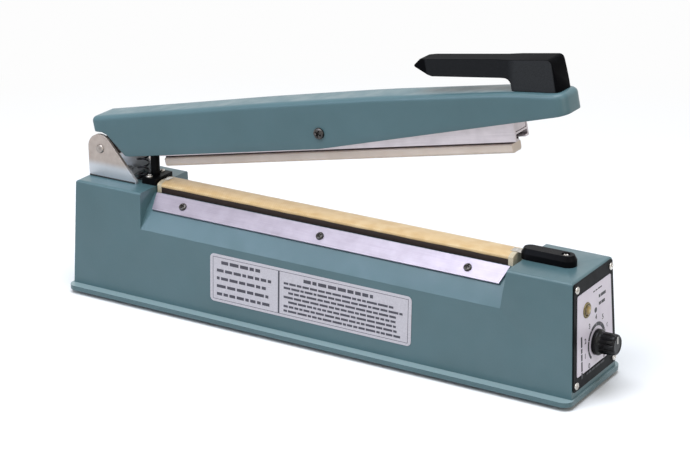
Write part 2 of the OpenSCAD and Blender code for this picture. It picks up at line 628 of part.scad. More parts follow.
module front_terminal_cap() color("#131315") base_frame() difference() {
    r = cap_w / 2;
    hull() for (x = [cap_x0 + r, cap_x0 + cap_len - r]) translate([x, 0, housing_h]) {
        cylinder(r = r, h = cap_h * 0.55, $fn = 32);
        cylinder(r = r * 0.72, h = cap_h, $fn = 32);
    }
    translate([cap_x0 - 1, -element_w / 2 - 1.2, housing_h - 1])
        cube([front_post_x + 5 - cap_x0, element_w + 2.4, terminal_h + 2.4]);
    translate([cap_screw_x, 0, housing_h - 1]) cylinder(r = cap_screw_r + fit, h = cap_h + 2);
    translate([cap_screw_x, 0, housing_h + cap_h - 2.2]) cylinder(r = 3.1, h = 4);
}
module rear_terminal_cap() color("#131315") base_frame() difference() {
    translate([rear_cap_x0, -rear_cap_w / 2, housing_h])
        cube([seat_x0 - 0.1 - rear_cap_x0, rear_cap_w, rear_cap_h]);
    translate([rod_x, 0, housing_h - 1]) cylinder(r = rod_r + 0.3, h = rear_cap_h + 2);
    translate([rear_post_x - 2.1, -element_w / 2 - 1.2, housing_h - 1])
        cube([9, element_w + 2.4, terminal_h + 2.4]);
    mirror_y() translate([rod_x, rear_cap_screw_y, housing_h - 1])
        cylinder(r = cap_screw_r + fit, h = rear_cap_h + 2);
}
module cap_screws() color("#c4c6ca") base_frame() {
    translate([cap_screw_x, 0, housing_h + cap_h - 2.2]) pan_screw(cap_screw_r, cap_h + wall - 1, 2.8, 1.6);
    mirror_y() translate([rod_x, rear_cap_screw_y, housing_h + rear_cap_h])
        pan_screw(cap_screw_r, rear_cap_h + wall, 2.4, 1.4);
}
module terminal_posts() color("#c2a04a") base_frame() {
    for (post = [[rear_post_x, 1.6, 0], [front_post_x, 3, 5]]) translate([post[0], 0, housing_h]) {
        translate([-post[1], -element_w / 2 - 1, 0]) cube([2 * post[1], element_w + 2, terminal_h]);
        translate([0, 0, -wall - post[2]]) cylinder(r = post_r, h = wall + post[2] + eps);
    }
}

// Sheet bracket: a base plate and two ears whose sloping fronts are tangent to the round tops
ear_tangent = let (foot = [ear_foot_x - pivot_x, housing_h + 2 - pivot_z],
                   a = atan2(foot[1], foot[0]) + acos(ear_r / norm(foot)))
    [pivot_x + ear_r * cos(a), pivot_z + ear_r * sin(a)];
module hinge_bracket() color("#cfcac4") base_frame() difference() {
    union() {
        translate([pivot_x - ear_r, -ear_gap_w / 2 - eps, housing_h])
            cube([bracket_web_x - pivot_x + ear_r, ear_gap_w + 2 * eps, 2]);
        for (s = [-1, 1]) translate([0, s * (ear_gap_w + ear_t) / 2, 0]) along_y(ear_t) {
            translate([pivot_x, pivot_z]) circle(ear_r);
            polygon([[pivot_x - ear_r, housing_h], [ear_foot_x, housing_h], [ear_foot_x, housing_h + 2],
                ear_tangent, [pivot_x, pivot_z], [pivot_x - ear_r, pivot_z]]);
        }
    }
    translate([pivot_x, 0, pivot_z]) across(pin_r + fit, 2 * arm_w);
    translate([0, 0, housing_h - 1]) bracket_screw_spots() cylinder(r = bracket_screw_r + fit, h = 5);
}
module bracket_screws() color("#b9bcc0") base_frame() translate([0, 0, housing_h + 2])
    bracket_screw_spots() pan_screw(bracket_screw_r, wall + 3.5, 3.5, 2.1);
ear_out = ear_gap_w / 2 + ear_t;
module hinge_pin() color("#b9bcc0") base_frame() translate([pivot_x, 0, pivot_z]) rotate([90, 0, 0]) {
    translate([0, 0, -ear_out - 2.2]) cylinder(r = pin_r, h = 2 * ear_out + 2.2);
    translate([0, 0, ear_out]) cylinder(r1 = pin_r + 1.1, r2 = pin_r + 0.3, h = 1.3);
}
module hinge_clip() color("#8d8f93") base_frame() translate([pivot_x, 0, pivot_z]) rotate([90, 0, 0])
    translate([0, 0, -ear_out - 1.2]) difference() {
        cylinder(r = pin_r + 2.2, h = 1);
        translate([0, 0, -1]) cylinder(r = pin_r + fit, h = 3);
        translate([0, 2, -1]) linear_extrude(3) square([1.6, 8], center = true);
    }

// Rings of sides points carried along a path; ref is a direction that the path never takes
function unit(v) = v / norm(v);
function ring(p, t, ref, r, sides) =
    let (u = unit(cross(t, ref)), v = cross(t, u))
    [for (i = [0 : sides - 1]) p + r * (cos(360 * i / sides) * u + sin(360 * i / sides) * v)];
module tube_along(path, r, ref, sides = 8) {
    n = len(path);
    rings = [for (i = [0 : n - 1]) each
        ring(path[i], unit(path[min(n - 1, i + 1)] - path[max(0, i - 1)]), ref, r, sides)];
    polyhedron(rings, concat(
        [[for (j = [0 : sides - 1]) j]],
        [[for (j = [sides - 1 : -1 : 0]) (n - 1) * sides + j]],
        [for (i = [0 : n - 2], j = [0 : sides - 1])
            let (k = (j + 1) % sides, a = i * sides, b = (i + 1) * sides)
            each [[a + j, b + k, a + k], [a + j, b + j, b + k]]]),
        convexity = 10);
}
spring_turns = 6;
module return_spring() color("#2b2b2e") base_frame() {
    steps = 14 * spring_turns;
    z0 = spring_seat_z + spring_wire_r;
    rise = spring_top - spring_wire_r - z0;
    mid_r = spring_r - spring_wire_r;
    tube_along([for (i = [0 : steps]) let (a = 360 * spring_turns * i / steps)
        [spring_x + mid_r * cos(a), mid_r * sin(a), z0 + rise * i / steps]], spring_wire_r, [0, 0, 1]);
}
collar_t = 3;
module push_rod() color("#1b1b1d") base_frame() translate([rod_x, 0, rod_top - rod_len]) {
    cylinder(r = rod_r, h = rod_len - rod_r);
    translate([0, 0, rod_len - rod_r]) sphere(r = rod_r);
    cylinder(r = collar_r, h = collar_t);
}

// Arm cover: a pressed channel, open below, closed at both ends
nose_r = 8;
cut_top_z = 12.6;
module arm_cover() color("#6f8f97") arm_frame() difference() {
    hull() mirror_y() {
        for (x = [arm_back + arm_edge_r, 150, 250, arm_tip - nose_fall])
            translate([x, arm_w / 2 - arm_edge_r, arm_top(x) - arm_edge_r]) sphere(r = arm_edge_r, $fn = 24);
        translate([arm_tip - nose_r, arm_w / 2 - nose_r, arm_low(arm_tip)]) {
            cylinder(r = nose_r, h = arm_top(arm_tip) - arm_low(arm_tip) - arm_edge_r, $fn = 32);
            cylinder(r = nose_r - nose_bevel, h = arm_top(arm_tip) - arm_low(arm_tip), $fn = 32);
        }
        translate([arm_back + 1.2, arm_w / 2 - 1.2, cut_top_z]) cylinder(r = 1.2, h = 8, $fn = 16);
        for (x = [cut_foot_x, 200])
            translate([x, arm_w / 2 - 1, -arm_skirt]) cylinder(r = 1, h = 5, $fn = 16);
    }
    along_y(arm_w + 2) polygon([[arm_back - 9, cut_top_z + 0.8], [arm_back + 1.2, cut_top_z + 0.8],
        [6.7, cut_top_z - 0.6], [cut_foot_x, -arm_skirt], [cut_foot_x, -30], [arm_back - 9, -30]]);
    along_y(arm_in_w) polygon(concat([[arm_back + arm_t, -30]],
        [for (x = [arm_back + arm_t, 150, 250, arm_tip - nose_fall, arm_tip - nose_r])
            [x, arm_top(x) - arm_t]],
        [[arm_tip - nose_r, -30]]));
    along_y(arm_w - 2 * nose_r) polygon([[arm_tip - nose_r - 1, -30],
        [arm_tip - nose_r - 1, arm_top(arm_tip) - arm_t],
        [arm_tip - arm_t, arm_top(arm_tip) - arm_t], [arm_tip - arm_t, -30]]);
    translate([jaw_pin_x, 0, jaw_pin_z]) across(jaw_pin_r + fit, arm_w + 2);
    grip_screw_spots() translate([0, 0, -3]) cylinder(r = grip_screw_r + fit, h = 6);
}
module arm_tongue() color("#a9abb0") arm_frame() difference() {
    union() {
        across(tongue_r, tongue_w);
        along_y(tongue_w) polygon([[0, tongue_r], [0, -tongue_r],
            [3, -tongue_r + 0.5], [striker_x0 - 2, striker_z],
            [tongue_len, striker_z], [tongue_len, 11]]);
    }
    along_y(tongue_w - 2 * tongue_t) polygon([[-20, -20],
        [striker_x0, -20], [striker_x0, striker_z + tongue_t],
        [tongue_len + 9, striker_z + tongue_t], [tongue_len + 9, 30], [-20, 30]]);
    across(bush_r + fit, tongue_w + 2);
}
bush_r = pin_r + 1.6;
module hinge_bush() color("#d9d4c4") arm_frame() difference() {
    across(bush_r, ear_gap_w - 0.3);
    across(pin_r + run_clear, ear_gap_w + 2);
}

// Handle: a block on the arm and a lever that reaches back over it to a pointed end
grip_x1 = arm_tip - grip_nose_gap;
grip_x0 = grip_x1 - grip_block_len;
grip_screw_r = 2;
grip_screw_head_r = 3.6;
grip_top = arm_top(grip_x0) + finger_gap + lever_h;
module grip_screw_spots() for (x = [grip_x0 + 8, grip_x1 - 9])
    translate([x, 0, arm_top(x) - arm_t]) children();
module handle() color("#151517") arm_frame() difference() {
    x_end = grip_x0 - grip_reach;
    intersection() {
        along_y(grip_w) polygon(rounded([
            [grip_x0, arm_top(grip_x0) + fit], [grip_x1, arm_top(grip_x1) + fit], [grip_x1 - 2.5, grip_top],
            [x_end + 9, grip_top + 6], [x_end, grip_top + 0.5], [x_end + 17, grip_top - 6.5],
            [grip_x0, arm_top(grip_x0) + finger_gap]], [0, 0, 4, 3, 1, 4, 5]));
        linear_extrude(3 * grip_top) polygon(rounded([[x_end, -2.5], [x_end + 14, -grip_w * 0.42],
            [grip_x0 - 8, -grip_w * 0.42], [grip_x0 + 2, -grip_w / 2], [grip_x1, -grip_w / 2],
            [grip_x1, grip_w / 2], [grip_x0 + 2, grip_w / 2], [grip_x0 - 8, grip_w * 0.42],
            [x_end + 14, grip_w * 0.42], [x_end, 2.5]], [1.5, 6, 5, 5, 4, 4, 5, 5, 6, 1.5]));
    }
    grip_screw_spots() translate([0, 0, -1]) cylinder(r = grip_screw_r + fit, h = 14);
}
module handle_screws() color("#b9bcc0") arm_frame() grip_screw_spots()
    translate([0, 0, -grip_screw_head_r * nose_slope]) rotate([180, 0, 0])
        pan_screw(grip_screw_r, arm_t + 10, grip_screw_head_r, 2.2);

// Jaw: an extruded channel with a slot below that holds the silicone strip
slot_h = 3.2;
web_z = -jaw_low + jaw_t + slot_h;
lip_y = jaw_w / 2 - jaw_t - 3.2;
module jaw_channel() color("#d5d3da") arm_frame() difference() {
    along_x(jaw_back, jaw_front) {
        o = jaw_w / 2;
        i = o - jaw_t;
        polygon([[-o, -jaw_low], [-lip_y, -jaw_low], [-lip_y, -jaw_low + jaw_t],
            [-i, -jaw_low + jaw_t], [-i, web_z],
            [i, web_z], [i, -jaw_low + jaw_t], [lip_y, -jaw_low + jaw_t], [lip_y, -jaw_low], [o, -jaw_low],
            [o, jaw_high], [i, jaw_high], [i, web_z + jaw_t],
            [-i, web_z + jaw_t], [-i, jaw_high], [-o, jaw_high]]);
    }
    translate([jaw_pin_x, 0, jaw_pin_z]) across(jaw_bush_r + fit, jaw_w + 2);
}
module silicone_strip() color("#e6dcc6") arm_frame() along_x(rubber_back, rubber_front) {
    head = jaw_w / 2 - jaw_t - 0.2;
    neck = lip_y - 0.2;
    top = -jaw_low - 0.05;
    polygon(concat(
        rounded([[-rubber_w / 2, rubber_low], [rubber_w / 2, rubber_low],
            [rubber_w / 2, top], [neck, top]], [2.5, 2.5, 0, 0]),
        [[neck, -jaw_low + jaw_t + 0.1], [head, -jaw_low + jaw_t + 0.1], [head, web_z - 0.1],
         [-head, web_z - 0.1], [-head, -jaw_low + jaw_t + 0.1], [-neck, -jaw_low + jaw_t + 0.1],
         [-neck, top], [-rubber_w / 2, top]]));
}
jaw_bush_r = jaw_pin_r + 1.3;
module jaw_bush() color("#d9d4c4") arm_frame() translate([jaw_pin_x, 0, jaw_pin_z]) difference() {
    across(jaw_bush_r, jaw_w + 0.2);
    across(jaw_pin_r + run_clear, jaw_w + 2);
}
module jaw_spacers() color("#b9bcc0") arm_frame() translate([jaw_pin_x, 0, jaw_pin_z]) mirror_y()
    rotate([90, 0, 0]) translate([0, 0, jaw_w / 2 + 0.3]) difference() {
        cylinder(r = jaw_pin_r + 2, h = (arm_in_w - jaw_w) / 2 - 0.3);
        translate([0, 0, -1]) cylinder(r = jaw_pin_r + fit, h = arm_w);
    }
module jaw_pivot_screw() color("#c9ccd0") arm_frame() translate([jaw_pin_x, -arm_w / 2, jaw_pin_z])
    rotate([90, 0, 0]) pan_screw(jaw_pin_r, arm_w + 4.2, 4.2, 2.4);
module jaw_pivot_nut() color("#b9bcc0") arm_frame() translate([jaw_pin_x, arm_w / 2, jaw_pin_z])
    rotate([-90, 0, 0]) difference() {
        cylinder(r = 4.6, h = 3.2, $fn = 6);
        translate([0, 0, -1]) cylinder(r = jaw_pin_r + fit, h = 6);
    }

// Transformer: stacked core with two windows, a winding round its middle leg, and a strap
leg_half = core_len / 6;
window_w = core_len / 6;
window_z0 = 12;
module transformer_frame() base_frame() translate([core_x, 0, plate_t]) children();
module transformer_core() color("#4c4f54") transformer_frame() difference() {
    translate([-core_len / 2, -core_w / 2, 0]) cube([core_len, core_w, core_h]);
    for (s = [-1, 1]) translate([s * (leg_half + window_w / 2), 0, core_h / 2])
        cube([window_w, core_w + 2, core_h - 2 * window_z0], center = true);
}
coil_gap = 0.2;
coil_half = leg_half + window_w - coil_gap;
coil_face_y = core_w / 2 + 8.5;
module transformer_coil() color("#b5752e") transformer_frame() translate([0, 0, core_h / 2]) difference() {
    cube([2 * coil_half, 2 * coil_face_y, core_h - 2 * (window_z0 + coil_gap)], center = true);
    cube([2 * (leg_half + coil_gap), core_w + 2 * coil_gap, core_h], center = true);
}
strap_t = 1.2;
strap_foot = 12;
strap_w = 16;
strap_screw_x = core_len / 2 + strap_foot / 2 + 1;
module strap_screw_spots() for (s = [-1, 1]) translate([core_x + s * strap_screw_x, 0, 0]) children();
strap_screw_r = 1.75;
module transformer_strap() color("#b9bcc0") transformer_frame() difference() {
    half = core_len / 2;
    along_y(strap_w) polygon(ribbon([[half + strap_foot, 0], [half, 0], [half, core_h],
        [-half, core_h], [-half, 0], [-half - strap_foot, 0]], -strap_t));
    for (s = [-1, 1]) translate([s * strap_screw_x, 0, -1]) cylinder(r = strap_screw_r + fit, h = 4);
}
module transformer_screws() color("#c9ccd0") base_frame() strap_screw_spots()
    translate([0, 0, plate_t + strap_t]) pan_screw(strap_screw_r, plate_t + strap_t, 3.4, 2);

// Timer board on four posts, with its power device, relay and capacitors
board_x = 356;
board_len = 62;
board_w = 40;
board_z = 9;
board_t = 1.6;
board_post_r = 1.2;
module board_post_spots() for (x = [-1, 1], y = [-1, 1])
    translate([board_x + x * (board_len / 2 - 4), y * (board_w / 2 - 4), 0]) children();
module board_posts() color("#e2e0d8") base_frame() board_post_spots() {
    cylinder(r = board_post_r, h = board_z + board_t + 1);
    translate([0, 0, plate_t]) cylinder(r = 2.6, h = board_z - plate_t);
}
module control_board() color("#2f6b3c") base_frame() {
    difference() {
        translate([board_x - board_len / 2, -board_w / 2, board_z]) cube([board_len, board_w, board_t]);
        board_post_spots() cylinder(r = board_post_r + fit, h = board_z + 2 * board_t);
    }
    translate([board_x, 0, board_z + board_t]) {
        translate([-20, -7, -eps]) cube([19, 15, 15]);
        for (x = [5, 14]) translate([x, -6, -eps]) cylinder(r = 4, h = 12);
        translate([6, 5, -eps]) cube([16, 3, 18]);
        translate([24, -8, -eps]) cube([4, 16, 9]);
    }
}

// Switch under the push rod, on a bracket that stands on the bottom plate
switch_h = 16;
switch_stroke = 1.6;
switch_len = 27.8;
switch_t = 10.2;
switch_x0 = rod_x - 9;
switch_z0 = switch_top - switch_stroke - switch_h;
button_r = 1.5;
switch_foot = 14;
switch_pin_z = 3.5;
module switch_screw_spots() for (x = [4, switch_len - 4])
    translate([switch_x0 + x, switch_t / 2 + 8, 0]) children();
module switch_pin_spots() for (x = [3, switch_len - 3])
    translate([switch_x0 + x, 0, switch_z0 + switch_pin_z]) children();
module microswitch() color("#26262a") base_frame() difference() {
    translate([switch_x0, -switch_t / 2, switch_z0]) cube([switch_len, switch_t, switch_h]);
    translate([rod_x, 0, switch_z0 + switch_h - 6]) cylinder(r = button_r + run_clear, h = 8);
    switch_pin_spots() across(switch_pin_r + fit, switch_t + 2);
}
module switch_button() color("#c8342b") base_frame()
    translate([rod_x, 0, switch_top - 6]) cylinder(r = button_r, h = 6);
bracket_t = 1.5;
switch_pin_r = 1.5;
module switch_bracket() color("#b9bcc0") base_frame() difference() {
    translate([switch_x0, switch_t / 2, plate_t]) {
        cube([switch_len, bracket_t, switch_z0 + switch_h - 4 - plate_t]);
        cube([switch_len, switch_foot, bracket_t]);
    }
    switch_pin_spots() across(switch_pin_r + fit, switch_t + 2 * bracket_t + 2);
    switch_screw_spots() cylinder(r = 1.2 + fit, h = 9);
}
module switch_screws() color("#c9ccd0") base_frame() {
    switch_pin_spots() translate([0, -switch_t / 2, 0]) rotate([90, 0, 0])
        pan_screw(switch_pin_r, switch_t + bracket_t + 1.5, 2.6, 1.5);
    switch_screw_spots() translate([0, 0, plate_t + bracket_t]) pan_screw(1.2, plate_t + bracket_t, 2.3, 1.3);
}

// Inlet grommet in the rear wall, with a lip on either side
lip_r = 9.4;
lip_x = rear_x(cord_z - lip_r) - 0.05;
grommet_in = rear_x(cord_z + lip_r) + wall + 0.05;
module cord_grommet() color("#1a1a1c") base_frame()
    translate([0, 0, cord_z]) rotate([0, 90, 0]) difference() {
    union() {
        translate([0, 0, 0.15]) cylinder(r1 = lip_r - 0.8, r2 = lip_r, h = lip_x - 0.15);
        translate([0, 0, 1]) cylinder(r = grommet_r, h = grommet_in + 1);
        translate([0, 0, grommet_in]) cylinder(r = grommet_r + 1.2, h = 2);
    }
    translate([0, 0, -1]) cylinder(r = cord_r, h = 20);
}

// Wires between the inlet, the switch, the transformer, the board and the terminals
wire_r = 1.1;
coil_y = (core_w / 2 + coil_face_y) / 2;
timer_back = front_low_x - (wall + timer_body_len) * cos(end_draft) - knob_up * sin(end_draft);
lamp_back = front_low_x - (wall + lamp_body_len) * cos(end_draft) - lamp_up * sin(end_draft);
wire_gap = 0.8;
wire_routes = [
    [[grommet_in + 5, 3, cord_z - 1.5], [17, 4.5, 20], [25, 7, 19], [34, 6, 22], [42, 3, 28],
        [switch_x0 - wire_gap, 0, 31]],
    [[grommet_in + 5, -3, cord_z - 1.5], [17, -7, 18.5], [26, -16, 12], [44, -21, 7], [80, -22, 5.5],
        [140, -22, 6], [200, -20, 8], [222, -20, 15], [233, -21, 22],
        [core_x - coil_half - wire_gap, -coil_y, 26]],
    [[switch_x0 + switch_len + wire_gap, 0, 33], [92, 4, 26], [110, 12, 12], [150, 19, 6], [200, 20, 8],
        [222, 20, 15], [233, 21, 22], [core_x - coil_half - wire_gap, coil_y, 26]],
    [[core_x + coil_half + wire_gap, coil_y, 30], [292, 21, 34], [306, 15, 44], [322, 8, 55],
        [340, 3, 62], [362, 1, 66], [front_post_x - 3, 0, housing_h - 14],
        [front_post_x, 0, housing_h - wall - 5 - wire_gap]],
    [[core_x + coil_half + wire_gap, -coil_y, 30], [292, -21, 27], [304, -15, 20], [314, -8, 12],
        [board_x - board_len / 2 - wire_gap, -4, board_z + 0.8]],
    [[board_x + board_len / 2 + wire_gap, 2, board_z + 0.8], [396, 3, 14], [404, 3, 26],
        [timer_back - wire_gap, knob_y, flange_t + knob_up - 2]],
    [[board_x + board_len / 2 + wire_gap, -6, board_z + 0.8], [396, -8, 22], [401, -10, 46],
        [406, -12, 59], [lamp_back - wire_gap, lamp_y, flange_t + lamp_up]]];
module wiring() color("#b3342c") base_frame()
    for (route = wire_routes) tube_along(smooth(route, 4), wire_r, [0.05, 0.25, 1], 8);
// Smooth curve through every point of a route, with n points between two of them
function smooth(pts, n) = concat([for (i = [0 : len(pts) - 2], j = [0 : n - 1])
    let (p0 = pts[max(0, i - 1)], p1 = pts[i], p2 = pts[i + 1], p3 = pts[min(len(pts) - 1, i + 2)], t = j / n)
    0.5 * (2 * p1 + (p2 - p0) * t + (2 * p0 - 5 * p1 + 4 * p2 - p3) * t * t
        + (3 * p1 - p0 - 3 * p2 + p3) * t * t * t)],
    [pts[len(pts) - 1]]);

base_housing();
bottom_plate();
plate_screws();
rubber_feet();
foot_screws();
front_panel();
panel_label();
panel_screws();
lamp_bezel();
lamp_lens();
timer_control();
timer_nut();
timer_knob();
timer_shaft();
knob_pointer();
knob_grub_screw();
side_label();
seal_bar();
heating_element();
release_cloth();
clamp_near();
clamp_far();
clamp_screws();
front_terminal_cap();
rear_terminal_cap();
cap_screws();
terminal_posts();
hinge_bracket();
bracket_screws();
hinge_pin();
hinge_clip();
return_spring();
push_rod();
arm_cover();
arm_tongue();
hinge_bush();
handle();
handle_screws();
jaw_channel();
silicone_strip();
jaw_bush();
jaw_spacers();
jaw_pivot_screw();
jaw_pivot_nut();
transformer_core();
transformer_coil();
transformer_strap();
transformer_screws();
control_board();
board_posts();
microswitch();
switch_button();
switch_bracket();
switch_screws();
cord_grommet();
wiring();
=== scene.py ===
# %% [markdown]
# # Dressing an impulse heat sealer
# A hand impulse sealer is a cast box with a heated strip on its back and a long sprung arm over it.
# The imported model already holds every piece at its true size. These cells load it as a fixed frame,
# replace the pieces whose form a solid model can only hint at, and give every piece its finish.

# %% Load the frame
import json
import math
import bmesh
import bpy
import numpy as np
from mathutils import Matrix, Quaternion, Vector


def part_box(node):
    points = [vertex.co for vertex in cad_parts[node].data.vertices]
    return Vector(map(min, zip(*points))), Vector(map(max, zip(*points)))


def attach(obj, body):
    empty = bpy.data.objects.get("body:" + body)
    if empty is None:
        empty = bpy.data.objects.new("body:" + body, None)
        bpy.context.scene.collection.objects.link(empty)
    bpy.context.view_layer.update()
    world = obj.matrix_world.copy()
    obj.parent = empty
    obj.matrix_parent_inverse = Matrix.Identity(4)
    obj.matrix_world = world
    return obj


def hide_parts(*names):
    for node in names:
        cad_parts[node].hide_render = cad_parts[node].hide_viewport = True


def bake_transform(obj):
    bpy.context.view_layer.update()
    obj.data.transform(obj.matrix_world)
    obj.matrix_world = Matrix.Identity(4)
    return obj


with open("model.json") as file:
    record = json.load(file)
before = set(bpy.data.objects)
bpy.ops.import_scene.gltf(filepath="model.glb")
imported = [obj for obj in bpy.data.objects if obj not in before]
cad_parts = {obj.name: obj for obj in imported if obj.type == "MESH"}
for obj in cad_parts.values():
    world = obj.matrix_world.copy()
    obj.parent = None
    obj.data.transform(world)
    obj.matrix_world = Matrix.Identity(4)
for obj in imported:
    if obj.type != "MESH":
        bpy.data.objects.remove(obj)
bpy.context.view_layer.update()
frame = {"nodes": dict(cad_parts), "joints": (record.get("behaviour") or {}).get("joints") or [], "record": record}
nodes = frame["nodes"]

# %% [markdown]
# Sizes are named once, in millimetres, and carried to metres where a mesh is made. Everything that the
# frame already knows, such as the hinge and the opening of the arm, is read from it and not written again.

# %% Read the hinge and the knob's axis from the joints
MM = 0.001
joints = {joint["name"]: joint for joint in frame["joints"]}
PIVOT = np.array(joints["arm_hinge"]["pos_m"])
OPEN = math.radians(-joints["arm_hinge"]["range_deg"][0])
KNOB_POINT = np.array(joints["timer_turn"]["pos_m"])
KNOB_AXIS = np.array(joints["timer_turn"]["axis"])
KNOB_UP = 30.0
FRONT_UP = np.array([-KNOB_AXIS[2], 0.0, KNOB_AXIS[0]])
FRONT_FOOT = KNOB_POINT - KNOB_UP * MM * FRONT_UP - np.array([0.0, KNOB_POINT[1], 0.0])
print("arm stands open by", round(math.degrees(OPEN), 2), "degrees about", PIVOT)


def box(node):
    """Lowest and highest corner of a node, in millimetres."""
    low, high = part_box(node)
    return np.array(low) / MM, np.array(high) / MM

# %% [markdown]
# Local frames make the writing easy: the base, which is the row frame itself, the arm about its pin, the
# leaning front wall, and any axis. Each is a function from millimetres there to metres in the row frame.

# %% Local frames
def in_base(points):
    """Row frame: only the unit changes."""
    return np.asarray(points, float) * MM


def in_arm(points):
    """Arm frame: x runs along the arm from the pin, z stands off it. Turned by OPEN about Y at PIVOT."""
    p = np.asarray(points, float) * MM
    c, s = math.cos(OPEN), math.sin(OPEN)
    out = np.stack([p[..., 0] * c - p[..., 2] * s, p[..., 1], p[..., 0] * s + p[..., 2] * c], -1)
    return out + PIVOT


def in_front(points):
    """Front wall: x stands off the wall along the knob's axis, z runs up it, from the wall's foot."""
    p = np.asarray(points, float) * MM
    return FRONT_FOOT + p[..., :1] * KNOB_AXIS + p[..., 1:2] * np.array([0.0, 1.0, 0.0]) + p[..., 2:] * FRONT_UP


def on_front(off, across, up):
    """Front wall, for turned shapes: their z stands off the wall, at a place across and up it."""
    return lambda points: in_front(np.asarray(points, float)[..., [2, 0, 1]] + (off, across, up))


def square_to(axis):
    """Three unit rows x, y and z, square to each other: z is the axis, and x is square to Y, or to X."""
    z = np.asarray(axis, float) / np.linalg.norm(axis)
    x = np.cross((0.0, 1.0, 0.0) if abs(z[1]) < 0.9 else (1.0, 0.0, 0.0), z)
    x /= np.linalg.norm(x)
    return np.stack([x, np.cross(z, x), z])


def along(origin, axis):
    """Frame whose z is axis, with its origin in millimetres of the row frame."""
    turn = square_to(axis)
    return lambda points: (np.asarray(points, float) @ turn + np.asarray(origin)) * MM


print("foot of the front wall at", np.round(FRONT_FOOT, 4).tolist())

# %% [markdown]
# The camera stands where a person stands who looks along the machine from its timer end, a little above
# it. Its place and direction are fixed numbers, and only the lens decides how much of the frame the
# machine fills. A long lens from that distance keeps the mild perspective of a catalogue picture. The
# camera is rolled by half a degree, as a hand-levelled one is.

# %% Camera
def shown(name, data):
    """A new object in the scene with a mesh, a lamp or a camera."""
    thing = bpy.data.objects.new(name, data)
    bpy.context.scene.collection.objects.link(thing)
    return thing


CAMERA_AT = Vector((0.8035, -1.2767, 0.6420))
CAMERA_TOWARDS = Vector((-0.4970, 0.7944, -0.3492))
LENS_MM = 116.0
CAMERA_ROLL = math.radians(-0.53)
camera_data = bpy.data.cameras.new("camera")
camera_data.lens = LENS_MM
camera_data.sensor_width = 36.0
camera = shown("camera", camera_data)
camera.location = CAMERA_AT
level_view = CAMERA_TOWARDS.to_track_quat("-Z", "Y")
camera.rotation_euler = (level_view @ Quaternion((0.0, 0.0, 1.0), CAMERA_ROLL)).to_euler()
bpy.context.scene.camera = camera
bpy.context.scene.view_settings.view_transform = "Standard"
print("camera of", LENS_MM, "mm at", tuple(round(x, 3) for x in CAMERA_AT))

# %% [markdown]
# Every finish is written with a few small tools: one turns a hex colour into the linear values that a
# shader works with, one adds a node with its settings and links, and one lays a pattern out in real
# millimetres. A material that is a recipe of real sizes then looks right on a piece of any size. Two more
# read a coordinate, which tells where a place is or how it faces, and mix two tones in clouds.

# %% Tools for materials
def linear(hex_colour):
    """sRGB hex to linear RGBA: divide by 12.92 near black, a 2.4 power curve above."""
    s = np.array([int(hex_colour[i:i + 2], 16) for i in (1, 3, 5)]) / 255
    return (*np.where(s <= 0.04045, s / 12.92, ((s + 0.055) / 1.055) ** 2.4), 1.0)


def feed(tree, node, links):
    """Gives each named input of a node a value, a node (its first output) or an output."""
    for key, value in links.items():
        if isinstance(value, bpy.types.Node):
            value = value.outputs[0]
        if isinstance(value, bpy.types.NodeSocket):
            tree.links.new(value, node.inputs[key])
        else:
            node.inputs[key].default_value = value


def add(tree, kind, links=None, stops=(), **settings):
    """Adds one node with its settings, and feeds its inputs. A colour ramp also gets its stops, which are
    (place, hex colour) or (place, grey value)."""
    node = tree.nodes.new("ShaderNode" + kind)
    for key, value in settings.items():
        setattr(node, key, value)
    feed(tree, node, links or {})
    elements = node.color_ramp.elements if stops else ()
    while len(elements) < len(stops):
        elements.new(0.5)
    for element, (at, colour) in zip(elements, stops):
        element.position = at
        element.color = linear(colour) if isinstance(colour, str) else (colour, colour, colour, 1.0)
    return node


def space(tree, unit, turn=0.0):
    """Object coordinates in units of so many millimetres, a number or one for each axis, turned about Y."""
    where = add(tree, "TexCoord").outputs["Object"]
    scale = tuple(float(u) * MM for u in np.broadcast_to(unit, 3))
    return add(tree, "Mapping", {"Vector": where, "Rotation": (0.0, turn, 0.0), "Scale": scale},
               vector_type="TEXTURE")


def coordinate(tree, kind, axis):
    """One coordinate, X, Y or Z, of the Object place, of the Normal or of the UV map."""
    return add(tree, "SeparateXYZ", {"Vector": add(tree, "TexCoord").outputs[kind]}).outputs[axis]


def cloudy(tree, unit, detail, *stops):
    """Noise with lumps of so many millimetres, taken through a colour ramp."""
    lumps = add(tree, "TexNoise", {"Vector": space(tree, unit), "Scale": 1.0, "Detail": detail})
    return add(tree, "ValToRGB", {"Fac": lumps}, stops)


def finish(name, links):
    """A Principled material. A "bump" entry is a height source and its height in millimetres."""
    material = bpy.data.materials.new(name)
    material.use_nodes = True
    tree = material.node_tree
    shader = tree.nodes["Principled BSDF"]
    values = links(tree) if callable(links) else links
    if "bump" in values:
        height, deep = values.pop("bump")
        values["Normal"] = add(tree, "Bump", {"Height": height, "Distance": deep * MM, "Strength": 1.0})
    feed(tree, shader, values)
    return material


ARM_TURN = -OPEN
print("patterns that follow the arm are turned by", round(math.degrees(ARM_TURN), 1), "degrees")

# %% [markdown]
# Enamel: the housing and the arm are sprayed and stoved in blue-grey enamel. Stoved enamel is never quite
# flat. It has an orange peel of about a millimetre and a half, a satin gloss, and a very soft cloudiness
# where the coat is thicker. Handling leaves a few duller patches, which only change the roughness. Where
# the flange looks up, a paler tone is painted in as a highlight of the light that its top catches.

# %% Enamel
FLANGE_TOP = 6.6 * MM


